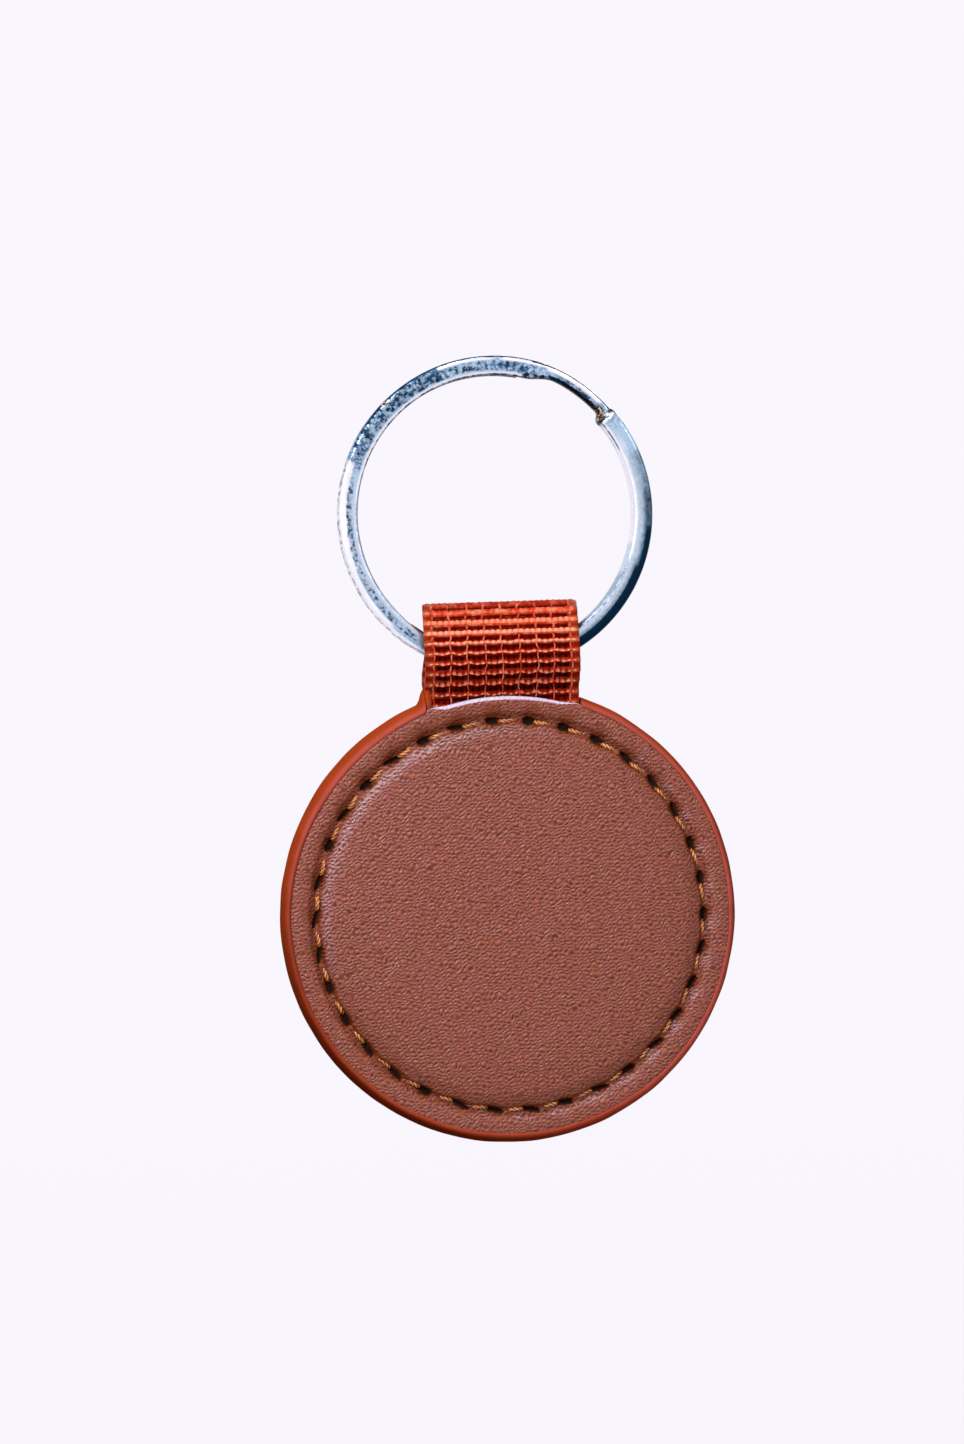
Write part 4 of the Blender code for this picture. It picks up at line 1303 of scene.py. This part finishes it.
def seam_course(seam, side):
    """Even points along the thread's middle, their shares of its length, and the length."""
    along, drop, inset = (np.array(column) * MM for column in zip(*STITCH_SHAPE))
    angles = np.concatenate([angle + along / SEAM_RADIUS for angle in hole_angles(seam)])
    angles = np.append(angles, seam.first_hole + 2 * pi)
    fine = np.linspace(angles[0], angles[-1], seam.stitches * STITCH_POINTS + 1)

    def smoothed(stitch):
        whole = np.append(np.tile(stitch, seam.stitches), stitch[0])
        row = np.interp(fine, angles, whole)[:-1]
        return np.convolve(np.concatenate([row[-4:], row, row[:4]]), soft_kernel(9), "valid")

    drops, insets = smoothed(drop), smoothed(inset)
    fine = fine[:-1]
    wander = np.array([noise.noise((sin(a) * 40, cos(a) * 40, side * 3.0)) for a in fine])
    level = FACE - THREAD_SINK + 0.14 * MM * wander
    radius = SEAM_RADIUS - insets + 0.08 * MM * wander
    course = np.stack(
        [radius * np.sin(fine), side * (level - drops), radius * np.cos(fine)], axis=1)
    closed = np.vstack([course, course[:1]])
    lengths = running_lengths(closed)
    places = np.linspace(0, lengths[-1], round(lengths[-1] / COURSE_STEP) + 1)[:-1]
    return course_at(places, lengths, closed), places / lengths[-1], lengths[-1]


def unit_rows(vectors):
    """Rows of vectors, each made one unit long."""
    return vectors / np.linalg.norm(vectors, axis=1)[:, None]


def build_thread(seam, side, name, material, replaced):
    """Three strands twisted round the seam's course."""
    course, shares, length = seam_course(seam, side)
    forward = unit_rows(np.roll(course, -1, axis=0) - np.roll(course, 1, axis=0))
    outward = unit_rows(course * (1, 0, 1))
    across = unit_rows(np.cross(forward, outward))
    outward = np.cross(across, forward)
    turns = round(length / seam.twist_pitch)
    strand_offset = seam.thread_diameter * 0.26
    strand_radius = seam.thread_diameter * 0.27
    bm = bmesh.new()
    for strand in range(STRANDS):
        turn = 2 * pi * (turns * shares + strand / STRANDS)
        places = course + strand_offset * (
            outward * np.cos(turn)[:, None] + across * np.sin(turn)[:, None])
        curve = bpy.data.curves.new(name, "CURVE")
        curve.dimensions = "3D"
        curve.bevel_depth = strand_radius
        curve.bevel_resolution = 1
        spline = curve.splines.new("POLY")
        spline.points.add(len(places) - 1)
        spline.points.foreach_set("co", np.column_stack([places, np.ones(len(places))]).ravel())
        spline.use_cyclic_u = True
        holder = bpy.data.objects.new(name, curve)
        mesh = bpy.data.meshes.new_from_object(holder)
        core = np.repeat(course, len(mesh.vertices) // len(course), axis=0)
        spots = np.array([vert.co for vert in mesh.vertices])
        off_core = np.linalg.norm(spots - core, axis=1) / (seam.thread_diameter / 2)
        thread_shade = mesh.attributes.new("thread_shade", "FLOAT", "POINT")
        # Painted shade where the thread dives and in the grooves between its strands
        for item, spot, off in zip(thread_shade.data, spots, off_core):
            dive = ease((FACE - 0.42 * MM - side * spot[1]) / (0.3 * MM))
            item.value = max(dive, ease((1.0 - off) / 0.3))
        bm.from_mesh(mesh)
        bpy.data.objects.remove(holder)
        bpy.data.curves.remove(curve)
        bpy.data.meshes.remove(mesh)
    settle_on_fob(bm)
    finish_piece(bm, name, material, "fob", replaced)


def build_threads(seam):
    """Needle thread in front and bobbin thread at the back."""
    material = thread_finish(seam)
    build_thread(seam, -1, "seam_thread_front", material, ["needle_thread"])
    build_thread(seam, 1, "seam_thread_back", material, ["bobbin_thread"])


# Stage

FLOOR_RADIUS = 2.5
AMBIENT_COLOUR = (0.86, 0.9, 1.0, 1.0)
AMBIENT_STRENGTH = 0.16
LAMP_TARGET = (0.0, 0.0, -0.035)
# Disc lamps: name, place, diameter, power and colour
LAMPS = [
    ("key_lamp", (-0.20, -0.20, 0.42), 0.16, 1.46, (0.97, 0.96, 1.0)),
    ("sheen_lamp", (-0.165, -0.37, 0.18), 0.14, 1.45, (0.93, 0.93, 1.0)),
    ("side_lamp", (0.46, -0.52, 0.16), 0.30, 0.7, (0.96, 0.96, 1.0)),
    ("rear_lamp", (0.22, 0.50, 0.30), 0.40, 2.3, (1.0, 1.0, 1.0))]


def add_lamp(name, place, size, power, colour):
    lamp = bpy.data.lights.new(name, "AREA")
    lamp.shape = "DISK"
    lamp.size = size
    lamp.energy = power
    lamp.color = colour
    holder = bpy.data.objects.new(name, lamp)
    holder.location = place
    aim = Vector(LAMP_TARGET) - Vector(place)
    holder.rotation_euler = aim.to_track_quat("-Z", "Y").to_euler()
    bpy.context.collection.objects.link(holder)


def add_seen_share(tree):
    """1 for rays from the camera, a gloss or a clear body, 0 for the light that shades."""
    rays = tree.nodes.new("ShaderNodeLightPath")
    seen = rays.outputs["Is Camera Ray"]
    for kind in ("Is Glossy Ray", "Is Transmission Ray"):
        larger = tree.nodes.new("ShaderNodeMath")
        larger.operation = "MAXIMUM"
        tree.links.new(seen, larger.inputs[0])
        tree.links.new(rays.outputs[kind], larger.inputs[1])
        seen = larger.outputs["Value"]
    return seen


def build_world(look):
    """Pale surroundings to the eye, a faint cool light on the keychain."""
    world = bpy.data.worlds.new("pale_studio")
    world.use_nodes = True
    tree = world.node_tree
    ambient = tree.nodes["Background"]
    ambient.inputs["Color"].default_value = AMBIENT_COLOUR
    ambient.inputs["Strength"].default_value = AMBIENT_STRENGTH
    pale = tree.nodes.new("ShaderNodeBackground")
    pale.inputs["Color"].default_value = (*look.backdrop, 1.0)
    pale.inputs["Strength"].default_value = 1.0
    mix = tree.nodes.new("ShaderNodeMixShader")
    tree.links.new(add_seen_share(tree), mix.inputs[0])
    tree.links.new(ambient.outputs[0], mix.inputs[1])
    tree.links.new(pale.outputs[0], mix.inputs[2])
    tree.links.new(mix.outputs[0], tree.nodes["World Output"].inputs["Surface"])
    bpy.context.scene.world = world


def build_floor(look):
    """Round floor that fades into the backdrop."""
    bm = bmesh.new()
    bmesh.ops.create_circle(bm, cap_ends=True, segments=96, radius=FLOOR_RADIUS)
    bmesh.ops.translate(bm, verts=bm.verts, vec=(0, 0, look.floor_height))
    mesh = bpy.data.meshes.new("studio_floor")
    bm.to_mesh(mesh)
    bm.free()
    finish = Finish("studio_floor")
    finish.shade(base_color=look.floor, roughness=0.9, specular_ior_level=0.0)
    glow = finish.add("Emission", {"Color": look.backdrop, "Strength": 1.0})
    away = finish.add("VectorMath", {0: finish.object_place()}, operation="LENGTH")
    far = finish.remap(away.outputs["Value"], 0.15, 0.6, 0.965, 1.0)
    share = finish.times(add_seen_share(finish.tree), far)
    mix = finish.add("MixShader", {0: share})
    finish.tree.links.new(finish.shader.outputs[0], mix.inputs[1])
    finish.tree.links.new(glow.outputs[0], mix.inputs[2])
    finish.tree.links.new(mix.outputs[0], finish.tree.nodes["Material Output"].inputs["Surface"])
    mesh.materials.append(finish.material)
    floor = bpy.data.objects.new("studio_floor", mesh)
    bpy.context.collection.objects.link(floor)


def build_camera(look):
    """Long lens, close to straight in front."""
    camera = bpy.data.cameras.new("photo_camera")
    camera.lens = look.focal_length
    camera.sensor_fit = "VERTICAL"
    camera.sensor_height = 36.0
    camera.clip_start = 0.01
    holder = bpy.data.objects.new("photo_camera", camera)
    away = Vector((
        sin(look.azimuth) * cos(look.elevation), -cos(look.azimuth) * cos(look.elevation),
        sin(look.elevation)))
    turn = (-away).to_track_quat("-Z", "Y").to_matrix().to_4x4()
    place = Matrix.Translation(Vector(look.aim) + away * look.distance)
    holder.matrix_world = place @ turn @ Matrix.Rotation(-look.roll, 4, "Z")
    bpy.context.collection.objects.link(holder)
    bpy.context.scene.camera = holder


def build_stage(look):
    scene = bpy.context.scene
    scene.view_settings.view_transform = "Standard"
    build_world(look)
    build_floor(look)
    build_camera(look)
    for lamp in LAMPS:
        add_lamp(*lamp)


def finish_board():
    """The core board keeps its solid's shape and gets its material."""
    node = frame["nodes"]["core_board"]
    node.data.materials.clear()
    node.data.materials.append(board_finish())


class DressRing(bpy.types.Operator):
    """Build the split ring's wire"""
    bl_idname = "keychain.dress_ring"
    bl_label = "Split ring"

    def execute(self, context):
        build_split_ring(context.scene.keychain_ring)
        return {"FINISHED"}


class DressStrap(bpy.types.Operator):
    """Weave the webbing and fold it through the ring"""
    bl_idname = "keychain.dress_strap"
    bl_label = "Webbing strap"

    def execute(self, context):
        build_webbing(context.scene.keychain_strap)
        return {"FINISHED"}


class DressLeather(bpy.types.Operator):
    """Build the two leather panels, with their channels and needle holes"""
    bl_idname = "keychain.dress_leather"
    bl_label = "Leather panels"

    def execute(self, context):
        build_leather(context.scene.keychain_leather, context.scene.keychain_seam)
        return {"FINISHED"}


class DressFilling(bpy.types.Operator):
    """Build the foam pad and finish the core board inside the fob"""
    bl_idname = "keychain.dress_filling"
    bl_label = "Foam and board"

    def execute(self, context):
        build_padding()
        finish_board()
        return {"FINISHED"}


class DressEdge(bpy.types.Operator):
    """Lay the edge paint round the fob"""
    bl_idname = "keychain.dress_edge"
    bl_label = "Edge paint"

    def execute(self, context):
        build_edge_paint(context.scene.keychain_paint, context.scene.keychain_leather.corner)
        return {"FINISHED"}


class DressSeam(bpy.types.Operator):
    """Sew the front and back threads"""
    bl_idname = "keychain.dress_seam"
    bl_label = "Seam threads"

    def execute(self, context):
        build_threads(context.scene.keychain_seam)
        return {"FINISHED"}


class SetStage(bpy.types.Operator):
    """Set the floor, the lamps and the camera"""
    bl_idname = "keychain.set_stage"
    bl_label = "Stage"

    def execute(self, context):
        build_stage(context.scene.keychain_studio)
        return {"FINISHED"}


LOOKS = {
    "keychain_ring": RingLook, "keychain_strap": StrapLook, "keychain_leather": LeatherLook,
    "keychain_seam": SeamLook, "keychain_paint": PaintLook, "keychain_studio": StudioLook,
}
OPERATORS = [DressRing, DressStrap, DressLeather, DressFilling, DressEdge, DressSeam, SetStage]


class KeychainPanel(bpy.types.Panel):
    """Sidebar panel with the keychain's looks and builders"""
    bl_idname = "VIEW3D_PT_keychain_looks"
    bl_label = "Loop keychain"
    bl_space_type = "VIEW_3D"
    bl_region_type = "UI"
    bl_category = "Keychain"

    def draw(self, context):
        for operator in OPERATORS:
            self.layout.operator(operator.bl_idname)
        for name, look in LOOKS.items():
            box = self.layout.box()
            box.label(text=look.__doc__)
            for setting in look.__annotations__:
                box.prop(getattr(context.scene, name), setting)


def register():
    for look in LOOKS.values():
        bpy.utils.register_class(look)
    for name, look in LOOKS.items():
        setattr(bpy.types.Scene, name, PointerProperty(type=look))
    for operator in OPERATORS:
        bpy.utils.register_class(operator)
    bpy.utils.register_class(KeychainPanel)


def unregister():
    bpy.utils.unregister_class(KeychainPanel)
    for operator in reversed(OPERATORS):
        bpy.utils.unregister_class(operator)
    for name in LOOKS:
        delattr(bpy.types.Scene, name)
    for look in reversed(LOOKS.values()):
        bpy.utils.unregister_class(look)


def main():
    register()
    for operator in OPERATORS:
        group, name = operator.bl_idname.split(".")
        getattr(getattr(bpy.ops, group), name)()


if __name__ == "__main__":
    main()
